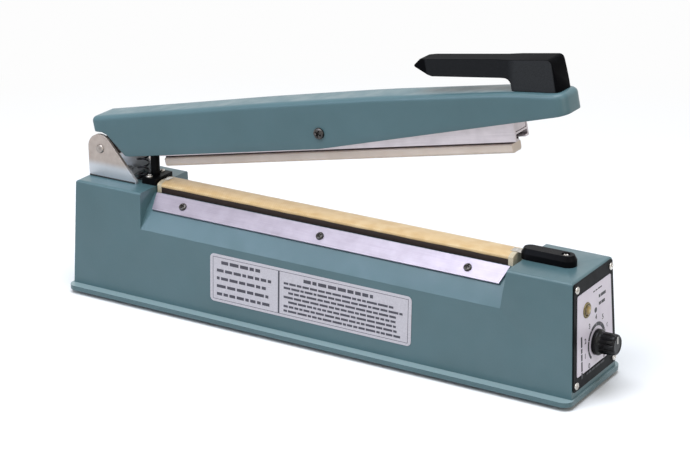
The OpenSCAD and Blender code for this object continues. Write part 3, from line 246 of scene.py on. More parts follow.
def rubbed_flange(tree, colour, pale):
    """Painted highlight: mixes in a paler tone where two things meet: the place is below the flange's top, and it
    looks up.
    """
    low = add(tree, "MapRange", {"Value": coordinate(tree, "Object", "Z"), "From Min": FLANGE_TOP + 1.0 * MM,
                                 "From Max": FLANGE_TOP + 0.5 * MM})
    looks_up = add(tree, "MapRange", {"Value": coordinate(tree, "Normal", "Z"),
                                      "From Min": 0.15, "From Max": 0.7})
    mask = add(tree, "Math", {0: low, 1: looks_up}, operation="MULTIPLY")
    return add(tree, "MixRGB", {"Fac": mask, "Color1": colour, "Color2": linear(pale)})


def enamel(name, light, dark, gloss=0.36, sheen=0.5, wear_and_highlight=None):
    """Stoved enamel: a cloudy mix of two near colours, an orange-peel height and patchy roughness.
    sheen is the specular level, and the last argument is the paler tone painted on a flange's top as a highlight."""
    def recipe(tree):
        clouds = add(tree, "TexNoise", {"Vector": space(tree, 60.0), "Scale": 1.0, "Detail": 3.0,
                                        "Roughness": 0.55})
        peel = add(tree, "TexNoise", {"Vector": space(tree, 1.6), "Scale": 1.0, "Detail": 1.5})
        tone = add(tree, "ValToRGB", {"Fac": clouds}, [(0.32, dark), (0.68, light)])
        fleck = cloudy(tree, 0.45, 2.0, (0.3, 0.93), (0.7, 1.0))
        colour = add(tree, "MixRGB", {"Fac": 1.0, "Color1": tone, "Color2": fleck}, blend_type="MULTIPLY")
        if wear_and_highlight:
            colour = rubbed_flange(tree, colour, wear_and_highlight)
        handled = add(tree, "TexNoise", {"Vector": space(tree, 14.0), "Scale": 1.0, "Detail": 4.0})
        rough = add(tree, "MapRange", {"Value": handled, "From Min": 0.35, "From Max": 0.7,
                                       "To Min": gloss - 0.05, "To Max": gloss + 0.09})
        return {"Base Color": colour, "Roughness": rough, "IOR": 1.5, "Specular IOR Level": sheen,
                "Coat Weight": 0.3 * sheen, "Coat Roughness": 0.22, "bump": (peel, 0.018)}
    return finish(name, recipe)


blue_enamel = enamel("blue_grey_stoved_enamel", "#527076", "#4c696e", sheen=0.36)
# The paler tone on the flange's top is a painted highlight.
housing_enamel = enamel("blue_grey_enamel_flange_highlight", "#4f6d73", "#49666b", wear_and_highlight="#84999b")
black_enamel = enamel("black_stoved_enamel", "#0f1012", "#0a0b0c", 0.42, 0.06)
plate_enamel = enamel("dark_grey_base_paint", "#37393c", "#2c2e31", 0.6)
print("enamels:", blue_enamel.name, housing_enamel.name, black_enamel.name, plate_enamel.name)

# %% [markdown]
# Metals: brushed and drawn metal carries fine lines in the direction in which the strip ran through its
# rollers. The lines are noise stretched a hundred times along that direction. Real lines are a few
# hundredths of a millimetre apart, and they are drawn at a fifth of a millimetre so that they show.

# %% Metals
def drawn_metal(name, light, dark, rough, along_axis=(1, 0, 0), turn=0.0, depth=0.012, metal=1.0):
    """Metal with lines along one axis: stretched noise for tone, roughness and height, and soft stains."""
    def recipe(tree):
        unit = [30.0 if a else 0.22 for a in along_axis]
        lines = add(tree, "TexNoise", {"Vector": space(tree, unit, turn), "Scale": 1.0, "Detail": 3.0,
                                       "Roughness": 0.6})
        tone = add(tree, "ValToRGB", {"Fac": lines}, [(0.3, dark), (0.7, light)])
        cloud = cloudy(tree, 11.0, 4.0, (0.35, 0.88), (0.62, 1.0))
        colour = add(tree, "MixRGB", {"Fac": 1.0, "Color1": tone, "Color2": cloud}, blend_type="MULTIPLY")
        gloss = add(tree, "MapRange", {"Value": lines, "From Min": 0.3, "From Max": 0.7,
                                       "To Min": rough - 0.07, "To Max": rough + 0.09})
        return {"Base Color": colour, "Metallic": metal, "Roughness": gloss, "bump": (lines, depth)}
    return finish(name, recipe)


def plated_metal(name, light, dark, rough, grain_mm=0.6):
    """Plated or polished metal: faint mottling from the bath, tiny scratches in the roughness."""
    def recipe(tree):
        grain = add(tree, "TexNoise", {"Vector": space(tree, grain_mm), "Scale": 1.0, "Detail": 3.0})
        tone = cloudy(tree, 3.5, 4.0, (0.33, dark), (0.66, light))
        gloss = add(tree, "MapRange", {"Value": grain, "From Min": 0.3, "From Max": 0.7,
                                       "To Min": rough - 0.04, "To Max": rough + 0.06})
        return {"Base Color": tone, "Metallic": 1.0, "Roughness": gloss, "bump": (grain, 0.0022)}
    return finish(name, recipe)


satin_aluminium = drawn_metal("satin_anodised_aluminium", "#ada6b3", "#9e97a5", 0.36)
jaw_aluminium = drawn_metal("extruded_aluminium", "#d8d0d2", "#c0b7bb", 0.4, turn=ARM_TURN, metal=0.8)
turned_steel = drawn_metal("turned_steel", "#b9bbc0", "#96989e", 0.28, (0, 1, 0))
heating_band = drawn_metal("nichrome_band", "#8f8b88", "#75716e", 0.35)
nickel_bright = plated_metal("bright_nickel_screw", "#d4d0ca", "#a9a49d", 0.2, 0.3)
# Its dark tone is a painted reflection: the heads are nickel, darkened for the dark things that they mirror.
nickel_painted_dark = plated_metal("nickel_screw_painted_dark_reflection", "#5b5856", "#343231", 0.3, 0.3)
zinc_bright = plated_metal("zinc_plated_screw", "#c3c6ca", "#989ba1", 0.33, 0.3)
zinc_sheet = plated_metal("zinc_plated_sheet", "#b4b7ba", "#95999e", 0.36, 0.8)
spring_steel = plated_metal("black_spring_steel", "#4a4b50", "#2d2e32", 0.34, 0.25)
pin_steel = plated_metal("dulled_pin_steel", "#a8a09a", "#8b837d", 0.38, 0.4)
brass = plated_metal("turned_brass", "#c7a25c", "#a9853f", 0.3, 0.3)
lamp_trim = plated_metal("browned_brass_ring", "#8b7f5c", "#5c5236", 0.3, 0.5)
dark_sheet = plated_metal("black_passivated_sheet", "#524d4a", "#36312e", 0.46, 0.8)
print("metals:", satin_aluminium.name, nickel_bright.name, zinc_bright.name, spring_steel.name)

# %% [markdown]
# The hinge bracket is nickel-plated sheet, of a warm, dull tone. Near its foot a bright, bluish tone is painted in
# as a reflection of the pale floor, so its colour changes over a few millimetres of height.

# %% Nickel with a painted reflection at its foot
def kept_bright(tree):
    """A smooth step over height, from 8 to 14 mm above the bracket's foot, mixes two tones of nickel: the bright
    lower one is a painted reflection of the floor.
    """
    foot = float(box("hinge_bracket")[0][2]) * MM
    reflection_share = add(tree, "MapRange", {"Value": coordinate(tree, "Object", "Z"), "From Min": foot + 8 * MM,
                                   "From Max": foot + 14 * MM, "To Min": 1.0, "To Max": 0.0},
                interpolation_type="SMOOTHSTEP")
    grain = add(tree, "TexNoise", {"Vector": space(tree, 2.5), "Scale": 1.0, "Detail": 3.0})
    sheet_tone = cloudy(tree, 3.5, 3.0, (0.3, "#ada199"), (0.7, "#b8ada5"))
    # The bluish tone at the foot is a painted reflection of the floor.
    colour = add(tree, "MixRGB", {"Fac": reflection_share, "Color1": sheet_tone, "Color2": linear("#c6c9cd")})
    gloss = add(tree, "MapRange", {"Value": grain, "From Min": 0.3, "From Max": 0.7,
                                   "To Min": 0.4, "To Max": 0.5})
    return {"Base Color": colour, "Metallic": 0.85, "Roughness": gloss, "bump": (grain, 0.0022)}


nickel_sheet = finish("nickel_plated_sheet", kept_bright)
print("sheet of the bracket:", nickel_sheet.name)

# %% [markdown]
# Plastics and rubber: the handle, the knob and the terminal caps are injection-moulded black ABS, which has
# a spark-eroded texture of about a third of a millimetre and a low sheen. Rubber is duller and greyer.
# The silicone strip is a warm cream, lets a little light in, and carries the dust of the bags.

# %% Plastics and rubber
def moulded(name, light, dark, rough, grain_mm=0.35, depth=0.02, **extra):
    """Moulded plastic: spark-eroded grain in height, faint flow marks in tone, worn places in roughness."""
    def recipe(tree):
        tone = cloudy(tree, 18.0, 2.0, (0.3, dark), (0.7, light))
        grain = add(tree, "TexNoise", {"Vector": space(tree, grain_mm), "Scale": 1.0, "Detail": 2.0})
        wear_and_highlight = add(tree, "TexNoise", {"Vector": space(tree, 6.0), "Scale": 1.0, "Detail": 3.0})
        gloss = add(tree, "MapRange", {"Value": wear_and_highlight, "From Min": 0.35, "From Max": 0.65,
                                       "To Min": rough - 0.03, "To Max": rough + 0.04})
        return {"Base Color": tone, "Roughness": gloss, "IOR": 1.53, "bump": (grain, depth), **extra}
    return finish(name, recipe)


black_abs = moulded("black_moulded_abs", "#0f0f11", "#0a0a0b", 0.3, 0.35, 0.01, **{"Specular IOR Level": 0.04})
knob_abs = moulded("black_knob_abs", "#0d0d0f", "#080809", 0.2, 0.3, 0.004, **{"Specular IOR Level": 0.18})
black_rubber = moulded("black_rubber", "#242425", "#1a1a1b", 0.72, 0.5, 0.03)
# The dark brown of the groove's neck is painted shade.
shaded_silicone = moulded("silicone_groove_painted_shade", "#3d2a2b", "#2a1d1e", 0.7, 0.8, 0.03)
silicone = moulded("cream_silicone", "#e6d7ca", "#d9c8b9", 0.5, 0.8, 0.02,
                   **{"Subsurface Weight": 0.12, "Subsurface Radius": (0.0015, 0.001, 0.0006)})
white_plastic = moulded("white_moulded_plastic", "#ecebe6", "#dddbd5", 0.4)
nylon = moulded("natural_nylon", "#dcd8c8", "#cbc6b4", 0.5)
switch_plastic = moulded("black_phenolic_switch", "#2b2b2e", "#1f1f22", 0.5)
red_plastic = moulded("red_button_plastic", "#bd3a2b", "#a32d20", 0.3)
timer_body = moulded("olive_timer_housing", "#8a8262", "#746d50", 0.55)
print("plastics:", black_abs.name, knob_abs.name, silicone.name)

# %% [markdown]
# The handle is black ABS too, but the mould was eroded more deeply on its flat sides, so that a hand doesn't
# slip. They look greyer and duller than its top, most of all on the block that the lever grows out of.

# %% Textured grip of the handle
BLOCK_X0, BLOCK_UP = 357.5, 30.0


def gripped(tree):
    """Mask: a side, so |y| of its facing is near 1, and half as strong on the lever as on the block."""
    facing = add(tree, "Math", {0: coordinate(tree, "Normal", "Y")}, operation="ABSOLUTE")
    side = add(tree, "MapRange", {"Value": facing, "From Min": 0.93, "From Max": 0.985})
    start = float(in_arm((BLOCK_X0, 0.0, BLOCK_UP))[0])
    block = add(tree, "MapRange", {"Value": coordinate(tree, "Object", "X"), "From Min": start,
                                   "From Max": start + 5.0 * MM, "To Min": 0.5})
    mask = add(tree, "Math", {0: side, 1: block}, operation="MULTIPLY")
    grain = add(tree, "TexNoise", {"Vector": space(tree, 0.45), "Scale": 1.0, "Detail": 2.0})
    smooth = cloudy(tree, 18.0, 2.0, (0.3, "#09090a"), (0.7, "#0e0e10"))
    eroded = add(tree, "ValToRGB", {"Fac": grain}, [(0.3, "#2e2f30"), (0.7, "#3b3c3e")])
    return {"Base Color": add(tree, "MixRGB", {"Fac": mask, "Color1": smooth, "Color2": eroded}),
            "Roughness": add(tree, "MapRange", {"Value": mask, "To Min": 0.4, "To Max": 0.5}),
            "IOR": 1.53, "Specular IOR Level": 0.006, "bump": (grain, 0.012)}


grip_abs = finish("black_textured_grip_abs", gripped)
print("grip:", grip_abs.name)

# %% [markdown]
# The heating band lies under a release cloth: glass fibre woven plain and soaked in a tan fluoropolymer.
# Its threads are about half a millimetre apart, and are drawn at 0.9 mm so that they show. The weave is two
# waves at right angles, and which thread lies on top changes from one crossing to the next, so the height is
# a product of the two. Laminates, windings and stacked sheets show bands, which a wave texture draws.

# %% Release cloth, laminate bar and the inner materials
def woven(name, light, dark, thread_mm, rough):
    """Plain weave on UV coordinates in millimetres: height is sin(u) sin(v), with scorched bands in tone."""
    def recipe(tree):
        turns = [add(tree, "Math", {0: coordinate(tree, "UV", axis), 1: math.pi / thread_mm},
                     operation="MULTIPLY") for axis in "XY"]
        waves = [add(tree, "Math", {0: turn}, operation="SINE") for turn in turns]
        over = add(tree, "Math", {0: waves[0], 1: waves[1]}, operation="MULTIPLY")
        tone = cloudy(tree, (9.0, 6.0, 6.0), 3.0, (0.35, dark), (0.65, light))
        above = add(tree, "MapRange", {"Value": over, "From Min": -1.0})
        thread = add(tree, "ValToRGB", {"Fac": above}, [(0.0, 0.86), (1.0, 1.0)])
        colour = add(tree, "MixRGB", {"Fac": 1.0, "Color1": tone, "Color2": thread}, blend_type="MULTIPLY")
        return {"Base Color": colour, "Roughness": rough, "IOR": 1.38, "Coat Weight": 0.3,
                "Coat Roughness": 0.3, "bump": (over, 0.035)}
    return finish(name, recipe)


def layered(name, light, dark, unit, rough, metallic=0.0, depth=0.03):
    """Stacked or wound material: bands across one axis, for laminations, windings and laminates."""
    def recipe(tree):
        bands = add(tree, "TexWave", {"Vector": space(tree, unit), "Scale": 0.5, "Distortion": 0.3,
                                      "Detail": 2.0}, wave_type="BANDS", bands_direction="DIAGONAL")
        tone = add(tree, "ValToRGB", {"Fac": bands}, [(0.25, dark), (0.75, light)])
        return {"Base Color": tone, "Roughness": rough, "Metallic": metallic, "bump": (bands, depth)}
    return finish(name, recipe)


glass_tape = woven("cream_glass_tape", "#dfd3b9", "#cfc0a2", 0.9, 0.6)
release_cloth = woven("tan_release_cloth", "#ebcd9b", "#dfbb84", 0.9, 0.42)
bar_laminate = layered("brown_phenolic_laminate", "#2e1d14", "#20130c", (400.0, 400.0, 0.5), 0.5)
core_laminations = layered("transformer_laminations", "#53565b", "#33363a", (400.0, 0.7, 400.0), 0.5, 0.6)
copper_winding = layered("enamelled_copper_winding", "#c07a3e", "#8a4c20", (400.0, 400.0, 0.8), 0.25, 0.5, 0.12)
board_green = layered("green_circuit_board", "#35714a", "#2d6540", (3.0, 900.0, 900.0), 0.35)
wire_red = moulded("red_wire_insulation", "#b6392f", "#a02c24", 0.4)
print("soft and inner:", release_cloth.name, bar_laminate.name, core_laminations.name)

# %% [markdown]
# Two labels carry the print. The long one is a thin foil of satin aluminium with a lilac cast, the other a
# pale printed film. Their inks are separate thin pieces, so that the print has crisp edges at any size.

# %% Labels and ink
def foil(tree):
    """Thin rolled aluminium: a fine grain in tone, and soft waves of the foil in height."""
    waves = add(tree, "TexNoise", {"Vector": space(tree, 5.0), "Scale": 1.0, "Detail": 2.0})
    return {"Base Color": cloudy(tree, 0.9, 3.0, (0.3, "#bab5bb"), (0.7, "#cac6cb")), "Metallic": 0.35,
            "Roughness": 0.45, "bump": (waves, 0.05)}


label_foil = finish("printed_aluminium_foil", foil)
label_film = moulded("pale_printed_film", "#e8e0ea", "#ded5e1", 0.36, 0.6, 0.008)
black_ink = moulded("black_label_ink", "#2a2a30", "#212126", 0.5, 0.4, 0.004)
grey_ink = moulded("grey_label_ink", "#46444e", "#3b3942", 0.5, 0.4, 0.004)
print("labels:", label_foil.name, label_film.name)

# %% [markdown]
# The lamp's lens is cast acrylic. Its colour is pale over the bulb, where a highlight is painted in, and turns
# to a deep amber towards its rim.

# %% The lamp's lens
def lamp_acrylic(tree):
    """Colour by the share of the radius, which is UV x: pale over the bulb as a painted highlight, deep amber
    towards the rim.
    """
    amber = add(tree, "ValToRGB", {"Fac": coordinate(tree, "UV", "X")},
                [(0.0, "#e9dcae"), (0.45, "#b9963f"), (1.0, "#4f3f12")])
    return {"Base Color": amber, "Roughness": 0.14, "IOR": 1.49, "Transmission Weight": 0.2, "Coat Weight": 0.5}


amber_lens = finish("amber_lamp_acrylic", lamp_acrylic)
print("materials in all:", len(bpy.data.materials))

# %% [markdown]
# New pieces are surfaces worked out as arrays. A grid of points, one row for each step of a parameter,
# becomes a mesh with one face between four neighbours. Rolling the grid by one step closes it on itself,
# and a fan closes an open end.

# %% Tools for shapes
def mesh_piece(name, points, faces, material, body, replaces=(), slot=None, crease=32.0, uv=None):
    """Makes a mesh object from points in metres and faces. Its edges over crease degrees stay sharp."""
    mesh = bpy.data.meshes.new(name)
    mesh.from_pydata(np.asarray(points).reshape(-1, 3).tolist(), [], faces)
    if uv is not None:
        index = np.empty(len(mesh.loops), np.int32)
        mesh.loops.foreach_get("vertex_index", index)
        layer = mesh.uv_layers.new(name="UVMap")
        layer.data.foreach_set("uv", np.asarray(uv, np.float32).reshape(-1, 2)[index].ravel())
    return dress(shown(name, mesh), material, body, replaces, slot, crease)


def dress(piece, material, body, replaces=(), slot=None, crease=32.0):
    """Gives a piece its finish and shading, and its place in the frame: body and replaced nodes. slot is not used.
    A piece whose body is None rides on no body."""
    piece.data.materials.clear()
    piece.data.materials.append(material)
    piece.data.shade_smooth()
    piece.data.set_sharp_from_angle(angle=math.radians(crease))
    if body:
        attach(piece, body)
    if replaces:
        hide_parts(*replaces)
        slot = slot or slots[replaces[0]]
    return piece


def grid_faces(rows, columns, wrap_rows=False, wrap_columns=False):
    """Quads between neighbours of a grid that is stored row by row, rolled over where it is closed."""
    a = np.arange(rows * columns).reshape(rows, columns)
    b = np.roll(a, -1, 1)
    c, d = np.roll(b, -1, 0), np.roll(a, -1, 0)
    quads = np.stack([a, b, c, d], -1)
    quads = quads[:None if wrap_rows else -1, :None if wrap_columns else -1]
    return quads.reshape(-1, 4).tolist()


def surface(points, wrap_rows=False, wrap_columns=False, caps=False):
    """A grid of points and its faces. caps closes the first and last row with one face each."""
    rows, columns = points.shape[:2]
    faces = grid_faces(rows, columns, wrap_rows, wrap_columns)
    if caps:
        faces.append(list(range(columns))[::-1])
        faces.append(list(range((rows - 1) * columns, rows * columns)))
    return points.reshape(-1, 3), faces


def joined(shapes):
    """Several (points, faces) as one, each with its numbers moved behind those before it."""
    points, faces, count = [], [], 0
    for shape_points, shape_faces in shapes:
        points.append(np.asarray(shape_points).reshape(-1, 3))
        faces += [[i + count for i in face] for face in shape_faces]
        count += len(points[-1])
    return np.concatenate(points), faces


def around(steps):
    """Even angles over one full turn, as one row of an array."""
    return np.linspace(0.0, math.tau, steps, endpoint=False)[None]


def swept(radius, height, angle):
    """Points at x = radius cos(angle), y = radius sin(angle), z = height, for arrays that fit each other."""
    radius, height, angle = np.broadcast_arrays(radius, height, angle)
    return np.stack([radius * np.cos(angle), radius * np.sin(angle), height], -1)


def placed(shape, place):
    """A shape with its points taken through one of the local frames."""
    return place(shape[0]), shape[1]


def arrays(mesh):
    """Points (n, 3) and edges (m, 2) of a mesh, read out whole."""
    points, edges = np.empty(3 * len(mesh.vertices), np.float32), np.empty(2 * len(mesh.edges), np.int32)
    mesh.vertices.foreach_get("co", points)
    mesh.edges.foreach_get("vertices", edges)
    return points.reshape(-1, 3).astype(float), edges.reshape(-1, 2)


def merged(mesh, distance, thin=False, flat=None, outward=False):
    """Merges points closer than distance metres. Can drop thin faces, join flat ones, turn all outwards."""
    work = bmesh.new()
    work.from_mesh(mesh)
    bmesh.ops.remove_doubles(work, verts=work.verts, dist=distance)
    if thin:
        bmesh.ops.dissolve_degenerate(work, edges=work.edges, dist=distance)
    if flat:
        bmesh.ops.dissolve_limit(work, angle_limit=flat, verts=work.verts, edges=work.edges)
    if outward:
        bmesh.ops.recalc_face_normals(work, faces=work.faces)
    work.to_mesh(mesh)
    work.free()
    return mesh


def cleaned(piece):
    """Merges a new piece's points closer than a hundredth of a millimetre and mends what that leaves."""
    merged(piece.data, 0.01 * MM, thin=True, outward=True)
    return piece


slots = {part["node"]: part["material_slot"] for part in frame["record"]["subparts"]}
body_of = {node: body for body, members in frame["record"]["behaviour"]["bodies"].items() for node in members}
print("slots:", len(set(slots.values())), "bodies:", sorted(set(body_of.values())))

# %% [markdown]
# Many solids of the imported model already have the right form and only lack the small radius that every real
# edge has. Such a node is copied, its loose triangles are merged and its flat faces joined, and a bevel with
# hardened normals rounds the edges. The copy then stands for the node. The node itself is left as it is.

# %% A rounded copy of a node
SAME_POINT = 2e-6
SAME_PLANE = math.radians(0.4)


def rounded_copy(node, material, edge_mm, segments=2, crease=32.0, limit=34.0):
    """Copy of a node: doubles merged, flat faces joined, edges over limit degrees bevelled by edge_mm."""
    mesh = nodes[node].data.copy()
    mesh.name = node + "_dressed"
    merged(mesh, SAME_POINT, thin=True, flat=SAME_PLANE)
    piece = dress(shown(mesh.name, mesh), material, body_of[node], (node,), None, crease)
    if edge_mm:
        bevel = piece.modifiers.new("edges", "BEVEL")
        bevel.width = edge_mm * MM
        bevel.segments = segments
        bevel.limit_method = "ANGLE"
        bevel.angle_limit = math.radians(limit)
        bevel.harden_normals = True
        bevel.miter_outer = "MITER_ARC"


print("points closer than", SAME_POINT, "m are merged")

# %% [markdown]
# Each node of the table gets its finish, the size of its rounded edge in millimetres and the number of steps
# over that edge. The housing is cast, with large radii, but its side and the shoulder of its seat meet at
# only 29 degrees, so smaller angles count as edges there.

# %% Rounded copies
ROUNDED = {
    "base_housing": (housing_enamel, 1.3, 4), "bottom_plate": (plate_enamel, 0.3, 2),
    "front_panel": (black_enamel, 0.25, 2), "panel_label": (label_film, 0.08, 2),
    "side_label": (label_foil, 0.1, 2), "seal_bar": (bar_laminate, 0.3, 2),
    "clamp_near": (satin_aluminium, 0.3, 2), "clamp_far": (satin_aluminium, 0.3, 2),
    "front_terminal_cap": (black_abs, 0.6, 3), "rear_terminal_cap": (black_abs, 0.5, 3),
    "hinge_bracket": (nickel_sheet, 0.6, 3), "arm_tongue": (dark_sheet, 0.3, 2), "handle": (grip_abs, 1.1, 3),
    "jaw_channel": (jaw_aluminium, 0.25, 2), "rubber_feet": (black_rubber, 0.4, 2),
    "push_rod": (black_abs, 0.3, 2), "knob_pointer": (white_plastic, 0.1, 2),
    "timer_control": (timer_body, 0.3, 2), "timer_nut": (zinc_bright, 0.2, 2),
    "timer_shaft": (turned_steel, 0.2, 2), "knob_grub_screw": (zinc_bright, 0.1, 2),
    "heating_element": (heating_band, 0.05, 1), "terminal_posts": (brass, 0.15, 2),
    "hinge_pin": (pin_steel, 0.3, 2), "hinge_clip": (spring_steel, 0.1, 2),
    "hinge_bush": (nylon, 0.15, 2), "jaw_bush": (nylon, 0.15, 2), "jaw_spacers": (zinc_sheet, 0.1, 2),
    "jaw_pivot_nut": (zinc_bright, 0.25, 2), "transformer_core": (core_laminations, 0.3, 2),
    "transformer_coil": (copper_winding, 1.5, 3), "transformer_strap": (zinc_sheet, 0.2, 2),
    "control_board": (board_green, 0.1, 1), "board_posts": (nylon, 0.2, 2),
    "microswitch": (switch_plastic, 0.4, 2), "switch_button": (red_plastic, 0.25, 2),
    "switch_bracket": (zinc_sheet, 0.2, 2), "cord_grommet": (black_rubber, 0.4, 2),
}
for node, (material, edge, segments) in ROUNDED.items():
    blunt = node == "base_housing"
    rounded_copy(node, material, edge, segments, crease=18.0 if blunt else 32.0, limit=20.0 if blunt else 34.0)
for node, material in {"wiring": wire_red, "switch_screws": zinc_bright}.items():
    rounded_copy(node, material, 0.0)
print("rounded copies:", len(ROUNDED), "and 2 that keep their edges")

# %% [markdown]
# The arm is pressed from one sheet: a long pan, open below, with a soft radius all round its top. Such a pan
# could be drawn by hand and subdivided, but its edge is one rule: walk round the outline, and at each point
# go up the wall, over a quarter round, and in to the middle line. So it is worked out as a surface of those
# two parameters. Solidify then gives the sheet its 1.6 mm, inwards.

# %% Outline of the arm cover
ARM_X0, ARM_X1, ARM_HALF, SHEET_T = -4.7, 399.9, 14.0, 1.6
EDGE_R, TIP_R, BACK_R = 4.0, 8.0, 4.2
ARM_TOP = np.array([(-4.7, 24.8), (150.0, 27.5), (250.0, 28.0), (359.9, 26.0), (397.5, 22.3)])
ARM_LOW = np.array([(-4.7, 13.4), (-3.5, 13.4), (6.7, 12.0), (22.0, -7.5), (200.0, -7.5), (399.9, 8.0)])


def pan_outline(along_side=90, round_corner=9):
    """Outline of the pan from above and its inward normals: two sides, two ends and four quarter rounds."""
    side = np.linspace(ARM_X0 + BACK_R, ARM_X1 - TIP_R, along_side)
    quarter = np.linspace(0.0, math.pi / 2, round_corner)[1:-1]

    def run(x, y, inward):
        flat = np.stack(np.broadcast_arrays(x, y), -1)
        return flat, np.broadcast_to(inward, flat.shape)

    def corner(x, y, radius, start):
        out = np.stack([np.cos(quarter + start), np.sin(quarter + start)], -1)
        return np.array([x, y]) + radius * out, -out

    def end(x, radius, way):
        return run(x, np.linspace(-ARM_HALF + radius, ARM_HALF - radius, 5) * way, [-way, 0.0])

    tip, back = ARM_X1 - TIP_R, ARM_X0 + BACK_R
    runs = [run(side, -ARM_HALF, [0.0, 1.0]), corner(tip, TIP_R - ARM_HALF, TIP_R, -math.pi / 2),
            end(ARM_X1, TIP_R, 1.0), corner(tip, ARM_HALF - TIP_R, TIP_R, 0.0),
            run(side[::-1], ARM_HALF, [0.0, -1.0]), corner(back, ARM_HALF - BACK_R, BACK_R, math.pi / 2),
            end(ARM_X0, BACK_R, -1.0), corner(back, BACK_R - ARM_HALF, BACK_R, math.pi)]
    return [np.concatenate(parts) for parts in zip(*runs)]


pan_edge, pan_inward = pan_outline()
print("points round the arm cover:", len(pan_edge))

# %% [markdown]
# The second parameter leads from the wall's lower edge to the middle line. The lower edge rises to both ends
# of the arm, and the top is slightly bowed, so both heights are read from short tables of places and heights.

# %% Arm cover
def arm_pan():
    """Rows over the outline: wall heights, a quarter round of EDGE_R, then steps in to the middle line.
    The top's height is a mean over 16 mm to either side, which softens the kinks of ARM_TOP."""
    bottom = np.interp(pan_edge[:, 0], ARM_LOW[:, 0], ARM_LOW[:, 1])
    reach = np.arange(-16.0, 16.1, 4.0)

    def top(x):
        return np.interp(x[:, None] + reach, ARM_TOP[:, 0], ARM_TOP[:, 1]).mean(1)

    rows = []
    for share in np.linspace(0.0, 1.0, 5):
        z = bottom + share * (top(pan_edge[:, 0]) - EDGE_R - bottom)
        rows.append(np.column_stack([pan_edge, z]))
    for turn in np.linspace(0.0, math.pi / 2, 8)[1:]:
        flat = pan_edge + EDGE_R * (1.0 - math.cos(turn)) * pan_inward
        rows.append(np.column_stack([flat, top(flat[:, 0]) - EDGE_R * (1.0 - math.sin(turn))]))
    rim = pan_edge + EDGE_R * pan_inward
    spine = np.column_stack([np.clip(rim[:, 0], ARM_X0 + ARM_HALF, ARM_X1 - ARM_HALF), 0.0 * rim[:, 0]])
    for share in (0.25, 0.6, 1.0):
        flat = rim + share * (spine - rim)
        rows.append(np.column_stack([flat, top(flat[:, 0])]))
    return surface(np.stack(rows), wrap_columns=True)


pan_points, pan_faces = arm_pan()
arm_shell = cleaned(mesh_piece("arm_pan", in_arm(pan_points), pan_faces, blue_enamel, "arm", ("arm_cover",)))
arm_shell.data.set_sharp_from_angle(angle=math.radians(38.0))
wall = arm_shell.modifiers.new("sheet", "SOLIDIFY")
wall.thickness, wall.offset, wall.use_even_offset = SHEET_T * MM, -1.0, True
hem = arm_shell.modifiers.new("hem", "BEVEL")
hem.width, hem.segments = 0.35 * MM, 2
hem.limit_method, hem.angle_limit = "ANGLE", math.radians(60.0)
print("arm pan:", len(arm_shell.data.polygons), "faces, box", np.round(np.ptp(pan_points, axis=0), 1).tolist())

# %% [markdown]
# The silicone strip is moulded: a head that slides in the jaw's slot, a narrow neck, and the bulb that
# presses on the bag. The neck lies in a groove between jaw and bulb, and its dark brown is painted shade for
# that groove. A bulb like this is one closed profile carried along the jaw. The profile's corners are arcs,
# and the first and last steps draw it in a little, which rounds the cut ends.

# %% Silicone strip
RUBBER_X0, RUBBER_X1 = 52.4, 351.4
BULB_HALF, BULB_LOW, BULB_TOP = 6.5, -18.25, -11.5
LOW_R, TOP_R = 2.5, 1.2
NECK_HALF, NECK_TOP = 4.5, -9.2
TRACK_HALF, TRACK_DEPTH = 2.6, 0.15


def arc(centre, radius, first, last, steps=7):
    """Points of an arc about a centre, angles in degrees."""
    angle = np.radians(np.linspace(first, last, steps))
    return np.asarray(centre) + radius * np.stack([np.cos(angle), np.sin(angle)], -1)


def carried(profile, x0, x1, draw=0.45):
    """A profile (across, height) at stations along x. At both ends it shrinks by draw in a quarter round."""
    middle = (profile.min(0) + profile.max(0)) / 2
    reach = np.abs(profile - middle).max()
    turn = np.linspace(0.0, math.pi / 2, 5)
    inset = np.concatenate([draw * (1.0 - np.sin(turn)), draw * (1.0 - np.sin(turn[::-1]))])
    x = np.concatenate([x0 + draw * (1.0 - np.cos(turn)), x1 - draw * (1.0 - np.cos(turn[::-1]))])
    flat = middle + (profile - middle) * (1.0 - inset / reach)[:, None, None]
    return surface(np.concatenate([np.broadcast_to(x[:, None, None], (*flat.shape[:2], 1)), flat], -1),
                   wrap_columns=True, caps=True)


def rounded_block(half, low, high, low_r, high_r, foot=()):
    """A profile (across, height): a rectangle with quarter rounds, and points of its own along its foot."""
    places = ((-1, low + low_r, low_r, 180), (1, low + low_r, low_r, 270),
              (1, high - high_r, high_r, 0), (-1, high - high_r, high_r, 90))
    corners = [arc((side * (half - r), z), r, start, start + 90) for side, z, r, start in places]
    return np.concatenate([corners[0], np.reshape(foot, (-1, 2)), *corners[1:]])


track = np.array([[-TRACK_HALF - 0.5, 0.0], [-TRACK_HALF, TRACK_DEPTH],
                  [TRACK_HALF, TRACK_DEPTH], [TRACK_HALF + 0.5, 0.0]])
bulb = rounded_block(BULB_HALF, BULB_LOW, BULB_TOP, LOW_R, TOP_R, track + (0.0, BULB_LOW))
neck = np.array([[-NECK_HALF, BULB_TOP - 0.2], [NECK_HALF, BULB_TOP - 0.2],
                 [NECK_HALF, NECK_TOP], [-NECK_HALF, NECK_TOP]])
for name, profile, material, stands_for in (("silicone_bulb", bulb, silicone, ("silicone_strip",)),
                                            ("silicone_neck", neck, shaded_silicone, ())):
    points, faces = carried(profile, RUBBER_X0, RUBBER_X1)
    cleaned(mesh_piece(name, in_arm(points), faces, material, "jaw", stands_for, slots["silicone_strip"], 40.0))
print("silicone strip:", len(bulb), "points in its profile,", RUBBER_X1 - RUBBER_X0, "mm long")

# %% [markdown]
# The channel's upper half is closed at its front end by a small folded plate, which stops dust and keeps the
# sheet's two walls apart. It is a block with rounded corners, carried a short way along the channel.

